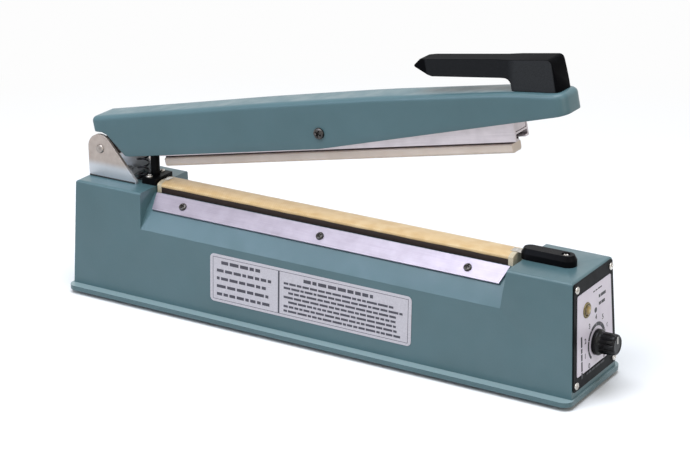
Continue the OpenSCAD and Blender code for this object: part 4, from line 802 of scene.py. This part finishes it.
# %% End plate of the channel
STOP_X0, STOP_X1, STOP_HALF, STOP_LOW, STOP_TOP = 353.9, 356.5, 7.8, -2.8, 8.4
points, faces = carried(rounded_block(STOP_HALF, STOP_LOW, STOP_TOP, 0.8, 0.8), STOP_X0, STOP_X1, 0.3)
cleaned(mesh_piece("jaw_end_plate", in_arm(points), faces, jaw_aluminium, "jaw", slot=slots["jaw_channel"],
                   crease=40.0))
print("end plate:", round(STOP_X1 - STOP_X0, 1), "mm deep")

# %% [markdown]
# Screws: there are thirty-odd of them, in ten nodes. Each solid of a node is found as an island of linked
# points, and its axis, radii and length are measured, so that a finer screw can be built at the same place.

# %% Islands of a node, and the measures of a screw
def islands(node):
    """Point sets in millimetres, one for each solid: the least label of linked points spreads till it stays."""
    mesh = merged(nodes[node].data.copy(), SAME_POINT)
    points, edges = arrays(mesh)
    bpy.data.meshes.remove(mesh)
    label = np.arange(len(points))
    while True:
        low = np.minimum(label[edges[:, 0]], label[edges[:, 1]])
        new = label.copy()
        np.minimum.at(new, edges[:, 0], low)
        np.minimum.at(new, edges[:, 1], low)
        if (new == label).all():
            break
        label = new
    return [points[label == which] / MM for which in np.unique(label)]


def measured(points, axis):
    """Origin at the head's seat, head radius and height, shank radius and length of one screw along axis."""
    side, other, up = square_to(axis)
    flat = np.stack([points @ side, points @ other], -1)
    centre = (flat.min(0) + flat.max(0)) / 2
    height, radius = points @ up, np.linalg.norm(flat - centre, axis=1)
    head = radius.max()
    seat = height[radius > 0.95 * head].min()
    origin = centre[0] * side + centre[1] * other + seat * up
    return origin, head, height.max() - seat, radius[height < height.min() + 0.05].max(), seat - height.min()


print("solids in clamp_screws:", len(islands("clamp_screws")))

# %% [markdown]
# A turned screw has a domed pan head with a sunk cross. The dome and the cross are one height formula over
# radius and angle. A hexagon nut is a profile of four points, taken round in six steps.

# %% A screw and a nut
def cross_screw(head, rise, shank, length, turn, steps=40):
    """Dome: z = rise (0.22 + 0.78 cos(t)^0.6) at radius head sin(t)^0.85, sunk where the cross's arms are."""
    t = np.linspace(0.02, math.pi / 2, 15)[:, None]
    angle = around(steps)
    radius, z = head * np.sin(t) ** 0.85 + 0.0 * angle, rise * (0.22 + 0.78 * np.cos(t) ** 0.6) + 0.0 * angle
    x, y = np.abs(radius * np.cos(angle + turn)), np.abs(radius * np.sin(angle + turn))

    def arm(across, out):
        return np.clip(1.6 - across / (0.13 * head), 0, 1) * np.clip((0.66 * head - out) / (0.14 * head), 0, 1)

    z = z - 0.62 * rise * np.maximum(arm(x, y), arm(y, x))
    shaft = np.array([(head, 0.0), (shank, 0.0), (shank, 0.5 - length), (0.6 * shank, -length)])
    rows = np.concatenate([swept(radius, z, angle), swept(shaft[:, :1], shaft[:, 1:], angle)])
    return surface(rows[::-1], wrap_columns=True, caps=True)


NUT_R, NUT_BORE, SHORTEST_SCREW = 3.1, 1.6, 2.0


def nut(points, axis):
    """Six-sided ring as tall as the solid that it stands for, hung from that solid's top along axis."""
    low, high = (points @ axis).min(), (points @ axis).max()
    walls = np.array([(NUT_R, low - high), (NUT_R, 0.0), (NUT_BORE, 0.0), (NUT_BORE, low - high)])
    middle = (points.min(0) + points.max(0)) / 2
    top = middle + (high - middle @ axis) * np.asarray(axis)
    ring = surface(swept(walls[:, :1], walls[:, 1:], around(6)), wrap_rows=True, wrap_columns=True)
    return placed(ring, along(top, axis))


print("nut of", NUT_R, "mm radius for solids shorter than", SHORTEST_SCREW, "mm")

# %% [markdown]
# Now each node of screws becomes one piece. Which way a head faces is a fixed direction for most nodes. The
# clamp screws stand square to the sloping seat, so their direction depends on the side. No two crosses stand
# at the same angle, as no one lines them up.

# %% Screws
SEAT_RUN, SEAT_RISE = 23.7 - 12.3, 9.9
TILT = math.atan2(SEAT_RISE, SEAT_RUN)
UP, DOWN = np.array([0.0, 0.0, 1.0]), np.array([0.0, 0.0, -1.0])
ARM_DOWN = np.array([math.sin(OPEN), 0.0, -math.cos(OPEN)])


def screws(node, axis_at, material):
    """One piece with a screw or nut for each solid. axis_at gives the way out of a head from its middle."""
    made = []
    for points in islands(node):
        axis = axis_at(points.mean(0))
        origin, head, rise, shank, length = measured(points, axis)
        if length > SHORTEST_SCREW:
            turn = 0.3 + 0.7 * len(made)
            made.append(placed(cross_screw(head, rise, shank, length, turn), along(origin, axis)))
        else:
            made.append(nut(points, axis))
    points, faces = joined(made)
    return mesh_piece(node + "_cross", points, faces, material, body_of[node], (node,), crease=38.0)


def off_facet(middle):
    """Way out of the sloping seat, near or far side."""
    return np.array([0.0, math.copysign(math.sin(TILT), middle[1]), math.cos(TILT)])


# The clamp screws and the jaw's pivot screw take nickel darkened as a painted reflection.
screws("clamp_screws", off_facet, nickel_painted_dark)
for node, facing, material in (
        ("panel_screws", KNOB_AXIS, nickel_bright), ("cap_screws", UP, nickel_bright),
        ("bracket_screws", UP, zinc_bright), ("plate_screws", DOWN, zinc_bright),
        ("foot_screws", DOWN, zinc_bright), ("handle_screws", ARM_DOWN, zinc_bright),
        ("jaw_pivot_screw", np.array([0.0, -1.0, 0.0]), nickel_painted_dark), ("transformer_screws", UP, zinc_bright)):
    screws(node, lambda middle: facing, material)
print("seat slopes by", round(math.degrees(TILT), 1), "degrees")

# %% [markdown]
# The release cloth is a strip of woven tape, drawn tight over the crown of the bar and stuck to the upper
# part of its sides. It is an open sheet: a path over the bar, carried along its length. The path is half
# an ellipse with a short straight drop at each side. A little waviness along the lower edge shows that it
# was cut by hand. Solidify gives it its thickness.

# %% Release cloth
BAR_HALF, BAR_TOP, CROWN, RIDGE = 9.6, 90.0, 2.3, 84.0
CLOTH_T, CLOTH_INSET, CLOTH_OFF, CLOTH_SIDE = 0.25, 2.8, 0.08, 0.12
seal_low, seal_high = box("seal_bar")


def cloth_strip(columns=150, across=40):
    """Path over the bar at each x: straight up the side, half an ellipse over the crown, straight down.
    The strip hangs lower towards the front by a square law, and its lower edge waves with three sines."""
    x = np.linspace(seal_low[0] + CLOTH_INSET, seal_high[0] - CLOTH_INSET, columns)[:, None]
    s = np.linspace(-1.0, 1.0, across)[None]
    loose = np.clip((x - 150.0) / 200.0, 0.0, 1.0) ** 2
    wave = 0.1 * np.sin(x * 0.11) + 0.06 * np.sin(x * 0.31 + 1.0) + 0.22 * loose * np.sin(x * 0.5)
    drop = 1.3 + 2.3 * loose + wave
    bend = np.clip(s / (1.0 - CLOTH_SIDE), -1.0, 1.0) * math.pi / 2
    fall = np.clip((np.abs(s) - (1.0 - CLOTH_SIDE)) / CLOTH_SIDE, 0.0, 1.0) * drop
    pucker = 0.02 * np.sin(x * 0.17) * np.sin(2 * bend)
    y = (BAR_HALF + CLOTH_OFF) * np.sin(bend) + 0.0 * x
    z = BAR_TOP + (CROWN + 0.1) * np.cos(bend) - fall + pucker
    points = np.stack([x + 0.0 * s, y, z], -1)
    step = np.linalg.norm(np.diff(points, axis=1), axis=2)
    width = np.concatenate([np.zeros((columns, 1)), np.cumsum(step, 1)], 1)
    uv = np.stack([np.broadcast_to(x, y.shape), width - width[:, -1:] / 2], -1)
    return points, uv, width[:, -1]


strip, strip_uv, cloth_widths = cloth_strip()
strip_points, strip_faces = surface(strip)
cloth = mesh_piece("release_cloth_woven", in_base(strip_points), strip_faces, release_cloth, "base",
                   ("release_cloth",), crease=60.0, uv=strip_uv)
thick = cloth.modifiers.new("thickness", "SOLIDIFY")
thick.thickness, thick.offset = CLOTH_T * MM, 1.0

# %% [markdown]
# Each end of the bar is wrapped in cream glass tape, so that the laminate's cut end doesn't show. The wrap is
# the bar's own outline carried around the end: up from the inside, along the outside and over the end face.

# %% Tape round the bar's ends
TAPE_T, TAPE_GAP, TAPE_REACH = 0.16, 0.02, 3.6


def bar_outline(out, steps=24):
    """Outline (y, z) of the bar's section, moved outwards: half an ellipse on two straight sides."""
    t = np.linspace(0.0, math.pi, steps)
    crown = np.stack([(BAR_HALF + out) * np.cos(t), BAR_TOP + (CROWN + out) * np.sin(t)], -1)
    feet = np.array([[-BAR_HALF - out, RIDGE + 0.1], [BAR_HALF + out, RIDGE + 0.1]])
    return np.concatenate([crown, feet])


def end_wrap(end, way):
    """Four rings (x, offset): inner end, inner back edge, outer back edge, outer end; way is +1 or -1."""
    back = end - way * TAPE_REACH
    rings = [(end + way * TAPE_GAP, TAPE_GAP), (back, TAPE_GAP), (back, TAPE_T), (end + way * TAPE_T, TAPE_T)]
    plain = bar_outline(0.0)
    rows = np.stack([np.column_stack([np.full(len(plain), x), bar_outline(out)]) for x, out in rings])
    run = np.concatenate([[0.0], np.cumsum(np.linalg.norm(np.diff(plain, axis=0), axis=1))])
    uv = np.stack([np.array([[x] for x, _ in rings]) + 0.0 * run, 0.0 * np.ones((4, 1)) + run], -1)
    return surface(rows[::-1] if way > 0 else rows, wrap_columns=True, caps=True), uv[::-1] if way > 0 else uv


wraps = [end_wrap(seal_high[0], 1.0), end_wrap(seal_low[0], -1.0)]
points, faces = joined([shape for shape, _ in wraps])
tape = mesh_piece("bar_end_tape", in_base(points), faces, glass_tape, "base", slot=slots["release_cloth"],
                  crease=30.0, uv=np.concatenate([uv.reshape(-1, 2) for _, uv in wraps]))
cleaned(tape)
print("tape wraps", len(faces), "faces")

# %% [markdown]
# At each end of the bar the heating band is spot-welded to a plated tab, which leads it to its terminal. The
# tabs show as two bright patches between cloth and caps. Each is a flat path given a width and a thickness.

# %% Tabs of the heating band
TAB_HALF, TAB_T, TAB_REACH = 3.4, 0.3, 5.5


def tab(end, way):
    """Path (x, z) from under the cloth over the bar's end, a little down at its outer end; way is +1 or -1."""
    x = end + way * np.array([-TAB_REACH, -1.0, 0.4, 1.6, 5.0])
    z = BAR_TOP + CROWN + np.array([0.2, 0.2, 0.18, 0.08, -0.18])
    across = np.array([[-TAB_HALF, 0.0], [TAB_HALF, 0.0], [TAB_HALF, TAB_T], [-TAB_HALF, TAB_T]])
    side, rise = across[:, 0], across[:, 1]
    rows = np.stack([np.column_stack([np.full(4, a), side, rise + b]) for a, b in zip(x, z)])
    return surface(rows, wrap_columns=True, caps=True)


points, faces = joined([tab(seal_high[0], 1.0), tab(seal_low[0], -1.0)])
cleaned(mesh_piece("element_tabs", in_base(points), faces, nickel_bright, "base",
                   slot=slots["heating_element"], crease=30.0))
print("tabs reach", TAB_REACH, "mm under the cloth")

# %% [markdown]
# Where the bracket's two ears meet the housing's top, a thin dark bead stands there as painted shadow of the
# joint. It is a small half round, carried along the foot of each ear.

# %% Dark bead of painted shadow at the bracket's foot
BEAD_R = 0.55
ear_low, ear_high = box("hinge_bracket")


def foot_bead(side, steps=9):
    """Half round of radius BEAD_R on the ear's outer face, along its foot; side is -1 or +1."""
    t = np.linspace(0.0, math.pi, steps)
    face = ear_low[1] if side < 0 else ear_high[1]
    profile = np.stack([face + side * BEAD_R * np.sin(t), ear_low[2] + BEAD_R * (1.0 - np.cos(t))], -1)
    ends = ear_low[0] + 0.6, ear_high[0] - 1.2
    rows = np.stack([np.column_stack([np.full(steps, x), profile]) for x in ends])
    return surface(rows, wrap_columns=True, caps=True)


# The dark bead is painted shadow along each ear's foot.
points, faces = joined([foot_bead(-1.0), foot_bead(1.0)])
cleaned(mesh_piece("bracket_painted_shadow_bead", in_base(points), faces, black_rubber, "base",
                   slot=slots["rubber_feet"], crease=30.0))
print("bead along", np.round([ear_low[0], ear_high[0]], 1), "mm")

# %% [markdown]
# Printing is done with many small flat bars. A function takes the corners of all bars at once and gives thin
# boxes, so that a whole label's print is one mesh. Lines of print are bars of differing lengths: at this
# size print reads as dashes, and the labels carry no words.

# %% Thin printed bars
INK_T = 0.04


def bars(low, high):
    """Boxes between low and high corners (n, 2), standing INK_T off the plane, of six faces each."""
    low, high = np.asarray(low, float), np.asarray(high, float)
    corner = np.array([[0, 0], [1, 0], [1, 1], [0, 1]])
    flat = low[:, None] * (1 - corner) + high[:, None] * corner
    base = np.concatenate([flat, np.zeros((*flat.shape[:2], 1))], -1)
    top = base + (0.0, 0.0, INK_T)
    points = np.concatenate([base, top], 1).reshape(-1, 3)
    sides = np.array([[3, 2, 1, 0], [4, 5, 6, 7], [0, 1, 5, 4], [1, 2, 6, 5], [2, 3, 7, 6], [3, 0, 4, 7]])
    faces = (sides[None] + 8 * np.arange(len(low))[:, None, None]).reshape(-1, 4).tolist()
    return points, faces


def text_like(x0, x1, rows, height, rng, gap=1.0, indent=None):
    """Rows of word-long bars between x0 and x1: word lengths are drawn from a seeded generator."""
    low, high = [], []
    for number, z in enumerate(rows):
        words = rng.uniform(2.4, 8.5, 60)
        ends = x0 + (indent[number] if indent else 0.0) + np.cumsum(words + gap)
        starts = ends - words - gap
        keep = ends < x1
        low.append(np.stack([starts[keep], np.full(keep.sum(), z)], -1))
        high.append(np.stack([ends[keep] - gap, np.full(keep.sum(), z + height)], -1))
    return np.concatenate(low), np.concatenate(high)


print("one bar has", len(bars([[0.0, 0.0]], [[1.0, 1.0]])[0]), "points")

# %% [markdown]
# The long label is on the near wall, which leans in by a draft angle of 2.6 degrees. Its print is a rule all
# round, a divider, and two blocks of lines: a narrow one at the left and a wide one at the right.

# %% Print on the long label
HALF_FOOT, HALF_TOP, WALL_H = 68.4 / 2, 60.8 / 2, 86.2 - 3.6
SIDE_FOOT = np.array([0.0, -HALF_FOOT, 6.6])
SIDE_DRAFT = math.atan2(HALF_FOOT - HALF_TOP, WALL_H)
LABEL_T, LABEL_LOW, LABEL_H, LABEL_SPLIT = 0.4, 11.5, 37.0, 60.0
label_low, label_high = box("side_label")


def in_side(points):
    """Near wall: x as in the row frame, y up the leaning wall, z off it. Millimetres to metres."""
    x, y, z = np.moveaxis(np.asarray(points, float), -1, 0)
    c, s = math.cos(SIDE_DRAFT), math.sin(SIDE_DRAFT)
    return (SIDE_FOOT + np.stack([x, y * s - z * c, y * c + z * s], -1)) * MM


def side_rules(x0, mid, x1, z0, z1, inset=2.5, line=0.35, divider=1.4):
    """Low and high corners of the rule round the label and of the divider."""
    left, right, foot, head = x0 + inset, x1 - inset, z0 + 2, z1 - 2.4
    low = [[left, foot], [left, head], [mid, foot], [left, foot], [right - line, foot]]
    high = [[right, foot + line], [right, head + line], [mid + divider, head],
            [left + line, z1 - 2], [right, z1 - 2]]
    return np.array(low), np.array(high)


def side_print():
    """The rules, then a heading and four lines at the left, a heading and seven lines at the right."""
    rng = np.random.default_rng(7)
    x0, x1, z0, z1 = label_low[0], label_high[0], LABEL_LOW, LABEL_LOW + LABEL_H
    mid = x0 + LABEL_SPLIT
    blocks = [
        text_like(x0 + 10, mid - 6, [z1 - 7.2], 2.6, rng, 1.3),
        text_like(x0 + 6, mid - 4, [z1 - 13.4 - 6.1 * i for i in range(4)], 2.3, rng, 1.3),
        text_like(mid + 22, x1 - 24, [z1 - 7.4], 2.6, rng, 1.3),
        text_like(mid + 5, x1 - 5, [z1 - 11.6 - 3.5 * i for i in range(7)], 1.7, rng, 0.8,
                  [0, 0, 4, 0, 4, 0, 0])]
    lines = bars(*(np.concatenate(corners) for corners in zip(*blocks)))
    return joined([bars(*side_rules(x0, mid, x1, z0, z1)), lines])


points, faces = side_print()
mesh_piece("side_label_print", in_side(points + (0.0, 0.0, LABEL_T)), faces, grey_ink, "base",
           slot="side_print", crease=20.0)
print("bars on the long label:", len(faces) // 6, "draft", round(math.degrees(SIDE_DRAFT), 2), "degrees")

# %% [markdown]
# The panel's film has the lamp at its upper left, a dot and two short lines beside it, and a dial round the
# knob. The dial is a ring of arc segments that grow wider as the time grows longer, with small numbers.

# %% Print on the panel
KNOB_Y, LAMP_Y, LAMP_UP = KNOB_POINT[1] / MM, -12.0, 58.0
FILM = 1.4
SWEEP = math.radians(140)
TIMES = 8


def arc_segments(centre, radius, widths, steps=8, gap=0.014):
    """A ring segment for each width over -SWEEP to SWEEP: a grid over angle, with two edges and two faces."""
    shapes = []
    spans = np.linspace(-SWEEP, SWEEP, len(widths) + 1)
    for start, stop, width in zip(spans[:-1], spans[1:], widths):
        angle = np.linspace(start + gap, stop - gap, steps)[:, None]
        edge = np.array([radius, radius + width, radius + width, radius])[None]
        off = np.array([0.0, 0.0, INK_T, INK_T])[None] + 0.0 * angle
        y, z = centre[0] + edge * np.sin(angle), centre[1] + edge * np.cos(angle)
        shapes.append(surface(np.stack([off, y, z], -1), wrap_columns=True, caps=True))
    return joined(shapes)


def disc(centre, radius, steps=24):
    """A flat round dot: two rings, closed."""
    rings = swept(radius, np.array([[0.0], [INK_T]]), around(steps))
    return surface(rings[..., [2, 0, 1]] + (0.0, *centre), wrap_columns=True, caps=True)


def upright(low, high):
    """Bars on the film: the flat pair is across and up, and the bar stands off the film along x."""
    points, faces = bars(low, high)
    return points[:, [2, 0, 1]], faces


def short_lines():
    """Three groups of lines across the film, and one that runs up it, whose corners swap across and up."""
    rng = np.random.default_rng(11)
    beside = text_like(6.5, 20.0, [LAMP_UP - 2.8, LAMP_UP + 2.6], 2.2, rng, 0.7)
    above = text_like(-2.0, 18.0, [LAMP_UP + 9.2], 0.9, rng, 0.9)
    low, high = text_like(11.0, 49.0, [-21.8], 2.1, rng, 0.8)
    below = text_like(-14.0, 18.0, [11.2], 1.5, rng, 0.9)
    return [upright(*beside), upright(*above), upright(low[:, ::-1], high[:, ::-1]), upright(*below)]


def inked(name, shapes):
    """One piece of ink on the film, which stands FILM off the wall."""
    points, faces = joined(shapes)
    mesh_piece(name, in_front(points + (FILM, 0.0, 0.0)), faces, black_ink, "base", slot="black_panel",
               crease=20.0)
    return len(faces)


dial = arc_segments((KNOB_Y, KNOB_UP), 11.3, np.linspace(1.9, 3.3, TIMES))
dot = disc((1.5, LAMP_UP - 4.6), 1.9)
print("print on the panel:", inked("panel_print", [dial, dot] + short_lines()), "faces")

# %% [markdown]
# The dial's numbers are set in Blender's own font. Its outline is made a mesh, which is laid on the film round
# the knob, a number at each end of a segment.

# %% Numbers of the dial
def number_mesh(number, size):
    """Points in millimetres and faces of one number, lying flat about its centre."""
    curve = bpy.data.curves.new("number", "FONT")
    curve.body, curve.size, curve.extrude, curve.offset = str(number), size, INK_T / 2, 0.12
    curve.align_x, curve.align_y = "CENTER", "CENTER"
    text = shown("number", curve)
    bpy.context.view_layer.update()
    mesh = bpy.data.meshes.new_from_object(text.evaluated_get(bpy.context.evaluated_depsgraph_get()))
    merged(mesh, 0.001 * MM)
    bpy.data.objects.remove(text)
    faces = [list(face.vertices) for face in mesh.polygons]
    flat = arrays(mesh)[0]
    bpy.data.meshes.remove(mesh)
    return flat, faces


def numbers(radius, size):
    """A shape for each number, 0 to TIMES. They stand round the knob, evenly over the sweep."""
    shapes = []
    for number, angle in enumerate(np.linspace(-SWEEP, SWEEP, TIMES + 1)):
        flat, faces = number_mesh(number, size)
        at = np.array([0.0, KNOB_Y + radius * math.sin(angle), KNOB_UP + radius * math.cos(angle)])
        shapes.append((np.stack([flat[:, 2] + INK_T / 2, flat[:, 0], flat[:, 1]], -1) + at, faces))
    return shapes


print("numbers on the dial:", TIMES + 1, "with", inked("dial_numbers", numbers(18.0, 5.2)), "faces")

# %% [markdown]
# The knob is turned in spirit: radius and height follow a profile, and twelve flutes bite into the radius
# where the fingers hold it. A flute is a narrow cosine bump raised to a power, which gives a round groove.

# %% Knob
FLUTES, FLUTE_DEEP, FLUTE_AT = 12, 0.75, math.radians(15)
KNOB_OFF = 1.0 + 0.6


def knob(steps=192):
    """Profile (radius, height), less FLUTE_DEEP cos(FLUTES a)^1.6 from the skirt to the rounded top."""
    skirt = [(4.0, 0.0), (9.0, 0.0), (9.2, 0.25), (9.2, 2.7), (9.0, 3.2), (8.5, 3.7), (7.95, 4.1), (7.75, 4.8)]
    grip = [(7.7, 6.0), (7.55, 10.0), (7.45, 13.8), (7.3, 14.8), (6.9, 15.5), (6.3, 15.9)]
    face = [(5.6, 16.0), (5.2, 15.95), (5.0, 15.72), (4.4, 15.66), (2.0, 15.7), (0.05, 15.72)]
    profile = np.array(skirt + grip + face)
    angle = around(steps)
    bite = np.interp(profile[:, 1], (4.1, 5.2, 14.6, 15.8), (0.0, 1.0, 1.0, 0.0))[:, None]
    bite[-len(face):] = 0.0
    groove = np.clip(np.cos(FLUTES * (angle - FLUTE_AT)), 0.0, 1.0) ** 1.6
    radius = profile[:, :1] - FLUTE_DEEP * bite * groove
    return surface(swept(radius, profile[:, 1:], angle), wrap_columns=True, caps=True)


knob_points, knob_faces = knob()
mesh_piece("timer_knob_fluted", on_front(KNOB_OFF, KNOB_Y, KNOB_UP)(knob_points), knob_faces, knob_abs, "knob",
           ("timer_knob",), crease=30.0)
print("knob reaches", round(float(knob_points[:, 2].max()), 2), "mm above its foot")

# %% [markdown]
# The signal lamp has an amber lens with a faceted dome in a browned brass ring. Both are turned shapes: the
# ring is rolled over at its lip, and the dome carries shallow ridges so that it glitters.

# %% Lamp
LENS_R, RIDGES = 4.0, 18
at_lamp = on_front(0.0, LAMP_Y, LAMP_UP)


def lip_ring(steps=48):
    """A flat foot under half an ellipse about (4.78, 1.6), carried round the axis."""
    t = np.linspace(0.0, math.pi, 9)
    radius = np.concatenate([[4.06, 5.5], 4.78 + 0.7 * np.cos(t)])[:, None]
    height = np.concatenate([[1.02, 1.02], 1.6 + 0.66 * np.sin(t)])[:, None]
    return surface(swept(radius, height, around(steps)), wrap_rows=True, wrap_columns=True)


def lens_shape(steps=72):
    """Dome z = 2.2 + 1.6 (1 - t^2.4) at radius LENS_R t, with ridges that fade to its top, on a barrel."""
    t = np.linspace(0.04, 1.0, 12)[:, None]
    angle = around(steps)
    ridge = 0.1 * np.abs(np.sin(RIDGES / 2 * angle)) * np.sin(math.pi * t)
    dome = swept(LENS_R * t, 2.2 + 1.6 * (1.0 - t ** 2.4) - ridge, angle)
    barrel = swept(LENS_R, np.array([[1.5], [-11.5]]), angle)
    share = np.concatenate([t + 0.0 * angle, np.ones((2, steps))])
    uv = np.stack([share, share], -1)[::-1]
    return surface(np.concatenate([dome, barrel])[::-1], wrap_columns=True, caps=True), uv


ring_points, ring_faces = placed(lip_ring(), at_lamp)
mesh_piece("lamp_ring", ring_points, ring_faces, lamp_trim, "base", ("lamp_bezel",), crease=50.0)
lens, lens_uv = lens_shape()
lens_points, lens_faces = placed(lens, at_lamp)
mesh_piece("lamp_dome", lens_points, lens_faces, amber_lens, "base", ("lamp_lens",), crease=28.0, uv=lens_uv)
print("lamp at", np.round(at_lamp([0.0, 0.0, 2.0]), 4).tolist())

# %% [markdown]
# The return spring is wound from a 1.4 mm wire. Its path is a helix whose ends lie flat: the height eases in
# and out while the angle runs evenly. It stands on the base and pushes on the arm, and it rides on neither
# body.

# %% Return spring
def tube(path, radius, sides=12):
    """Rings square to the path: one direction is up made square to the tangent, the other their product."""
    tangent = np.gradient(path, axis=0)
    tangent /= np.linalg.norm(tangent, axis=1, keepdims=True)
    hint = np.where(np.abs(tangent[:, 2:]) > 0.95, (1.0, 0.0, 0.0), (0.0, 0.0, 1.0))
    first = hint - (hint * tangent).sum(1, keepdims=True) * tangent
    first /= np.linalg.norm(first, axis=1, keepdims=True)
    second = np.cross(tangent, first)
    angle = around(sides)[..., None]
    rings = path[:, None] + radius * (np.cos(angle) * first[:, None] + np.sin(angle) * second[:, None])
    return surface(rings, wrap_columns=True, caps=True)


SPRING_TURNS, WIRE_R, POINTS_A_TURN = 6.0, 0.7, 40
spring_low, spring_high = box("return_spring")
spring_middle = (spring_low + spring_high) / 2


def helix():
    """Angle runs evenly. Height is a straight rise with a sine that flattens both ends."""
    s = np.linspace(0.0, 1.0, int(SPRING_TURNS * POINTS_A_TURN))
    angle = math.tau * SPRING_TURNS * s
    coil = (spring_high[0] - spring_low[0]) / 2 - WIRE_R
    ease = s - 0.11 * np.sin(math.tau * s)
    z = spring_low[2] + WIRE_R + ease * (spring_high[2] - spring_low[2] - 2 * WIRE_R)
    return np.stack([spring_middle[0] + coil * np.cos(angle), spring_middle[1] + coil * np.sin(angle), z], -1)


spring_points, spring_faces = tube(helix(), WIRE_R)
spring = mesh_piece("return_spring_wound", in_base(spring_points), spring_faces, spring_steel, None,
                    ("return_spring",), crease=60.0)
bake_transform(spring)
print("spring:", round(float(spring_high[2] - spring_low[2]), 1), "mm tall,", SPRING_TURNS, "turns")

# %% [markdown]
# The stage is a pale floor and a pale surround. The floor and the world are white only to the camera, to
# mirrors and through glass, which a Light Path node tells apart. Near the object the floor is a plain pale
# surface that takes a shadow, and further out it glows into the surround.

# %% Floor
def pale_floor(tree):
    """A nearly even white to every ray but the diffuse one, which would lift the object's shaded side."""
    pale = cloudy(tree, 400.0, 2.0, (0.3, "#f4f4f3"), (0.7, "#f8f8f7"))
    bounced = add(tree, "LightPath").outputs["Is Diffuse Ray"]
    colour = add(tree, "MixRGB", {"Fac": bounced, "Color1": pale, "Color2": linear("#b4b3b1")})
    return {"Base Color": colour, "Roughness": 0.9}


def seen_straight(tree):
    """1 for a camera or a mirror ray, else 0, and the Light Path node that says so."""
    rays = add(tree, "LightPath")
    straight = add(tree, "Math", {0: rays.outputs["Is Camera Ray"], 1: rays.outputs["Is Glossy Ray"]},
                   operation="MAXIMUM")
    return straight, rays


def glow_far_out(material, near=0.3, far=0.75):
    """Mixes the surface into a white glow from near to far metres, for rays that are seen straight."""
    tree = material.node_tree
    out = add(tree, "VectorMath", {0: add(tree, "TexCoord").outputs["Object"]}, operation="LENGTH")
    away = add(tree, "MapRange", {"Value": out.outputs["Value"], "From Min": near, "From Max": far},
               interpolation_type="SMOOTHSTEP")
    share = add(tree, "Math", {0: away, 1: seen_straight(tree)[0]}, operation="MULTIPLY")
    glow = add(tree, "Emission", {"Color": linear("#fdfdfd")})
    mix = add(tree, "MixShader", {0: share, 1: tree.nodes["Principled BSDF"], 2: glow})
    tree.links.new(mix.outputs[0], tree.nodes["Material Output"].inputs["Surface"])


def stage(steps=64):
    """A round floor under the feet: rings out to three metres, closed in the middle."""
    points, faces = surface(swept(np.linspace(0.02, 3.0, 12)[:, None], 0.0, around(steps)), wrap_columns=True)
    faces.append(list(range(steps))[::-1])
    mesh = bpy.data.meshes.new("floor")
    mesh.from_pydata(points.tolist(), [], [face[::-1] for face in faces])
    mesh.update()
    ground = shown("floor", mesh)
    material = finish("pale_floor", pale_floor)
    glow_far_out(material)
    mesh.materials.append(material)
    return ground


floor = stage()
print("floor of", len(floor.data.polygons), "faces")

# %% [markdown]
# The object is lit by four soft panels: a key from the camera's side, a large cool one above, a small blue
# one at the left and a fill from the timer end. The world is dim and plain, so colours come out about as
# they are written.

# %% Lights and surround
MIDDLE = (0.0, 0.0, 0.08)
WORLD_DIM = 0.38


def soft_panel(name, at, size, watts, colour):
    """A square area lamp that faces the middle of the object."""
    data = bpy.data.lights.new(name, "AREA")
    data.shape = "SQUARE"
    data.size = size
    data.energy = watts
    data.color = linear(colour)[:3]
    lamp = shown(name, data)
    lamp.location = at
    lamp.rotation_euler = (Vector(MIDDLE) - Vector(at)).to_track_quat("-Z", "Y").to_euler()


def surround():
    """A white world at WORLD_DIM, and at full strength for rays that are seen straight or through glass."""
    world = bpy.data.worlds.new("surround")
    world.use_nodes = True
    bpy.context.scene.world = world
    tree = world.node_tree
    straight, rays = seen_straight(tree)
    seen = add(tree, "Math", {0: straight, 1: rays.outputs["Is Transmission Ray"]}, operation="MAXIMUM")
    level = add(tree, "MapRange", {"Value": seen, "To Min": WORLD_DIM, "To Max": 1.0})
    feed(tree, tree.nodes["Background"], {"Strength": level, "Color": linear("#fdfdfd")})


soft_panel("key", (-0.35, -1.1, 1.55), 1.2, 8.5, "#fffdf8")
soft_panel("top", (0.1, -0.25, 1.75), 1.5, 32.0, "#ecf3ff")
soft_panel("sky", (-0.8, -1.15, 0.85), 0.6, 4.4, "#c6dbff")
soft_panel("front_fill", (1.6, -0.4, 0.6), 1.0, 4.5, "#fffaf2")
surround()
print("lamps:", [lamp.name for lamp in bpy.data.lights])
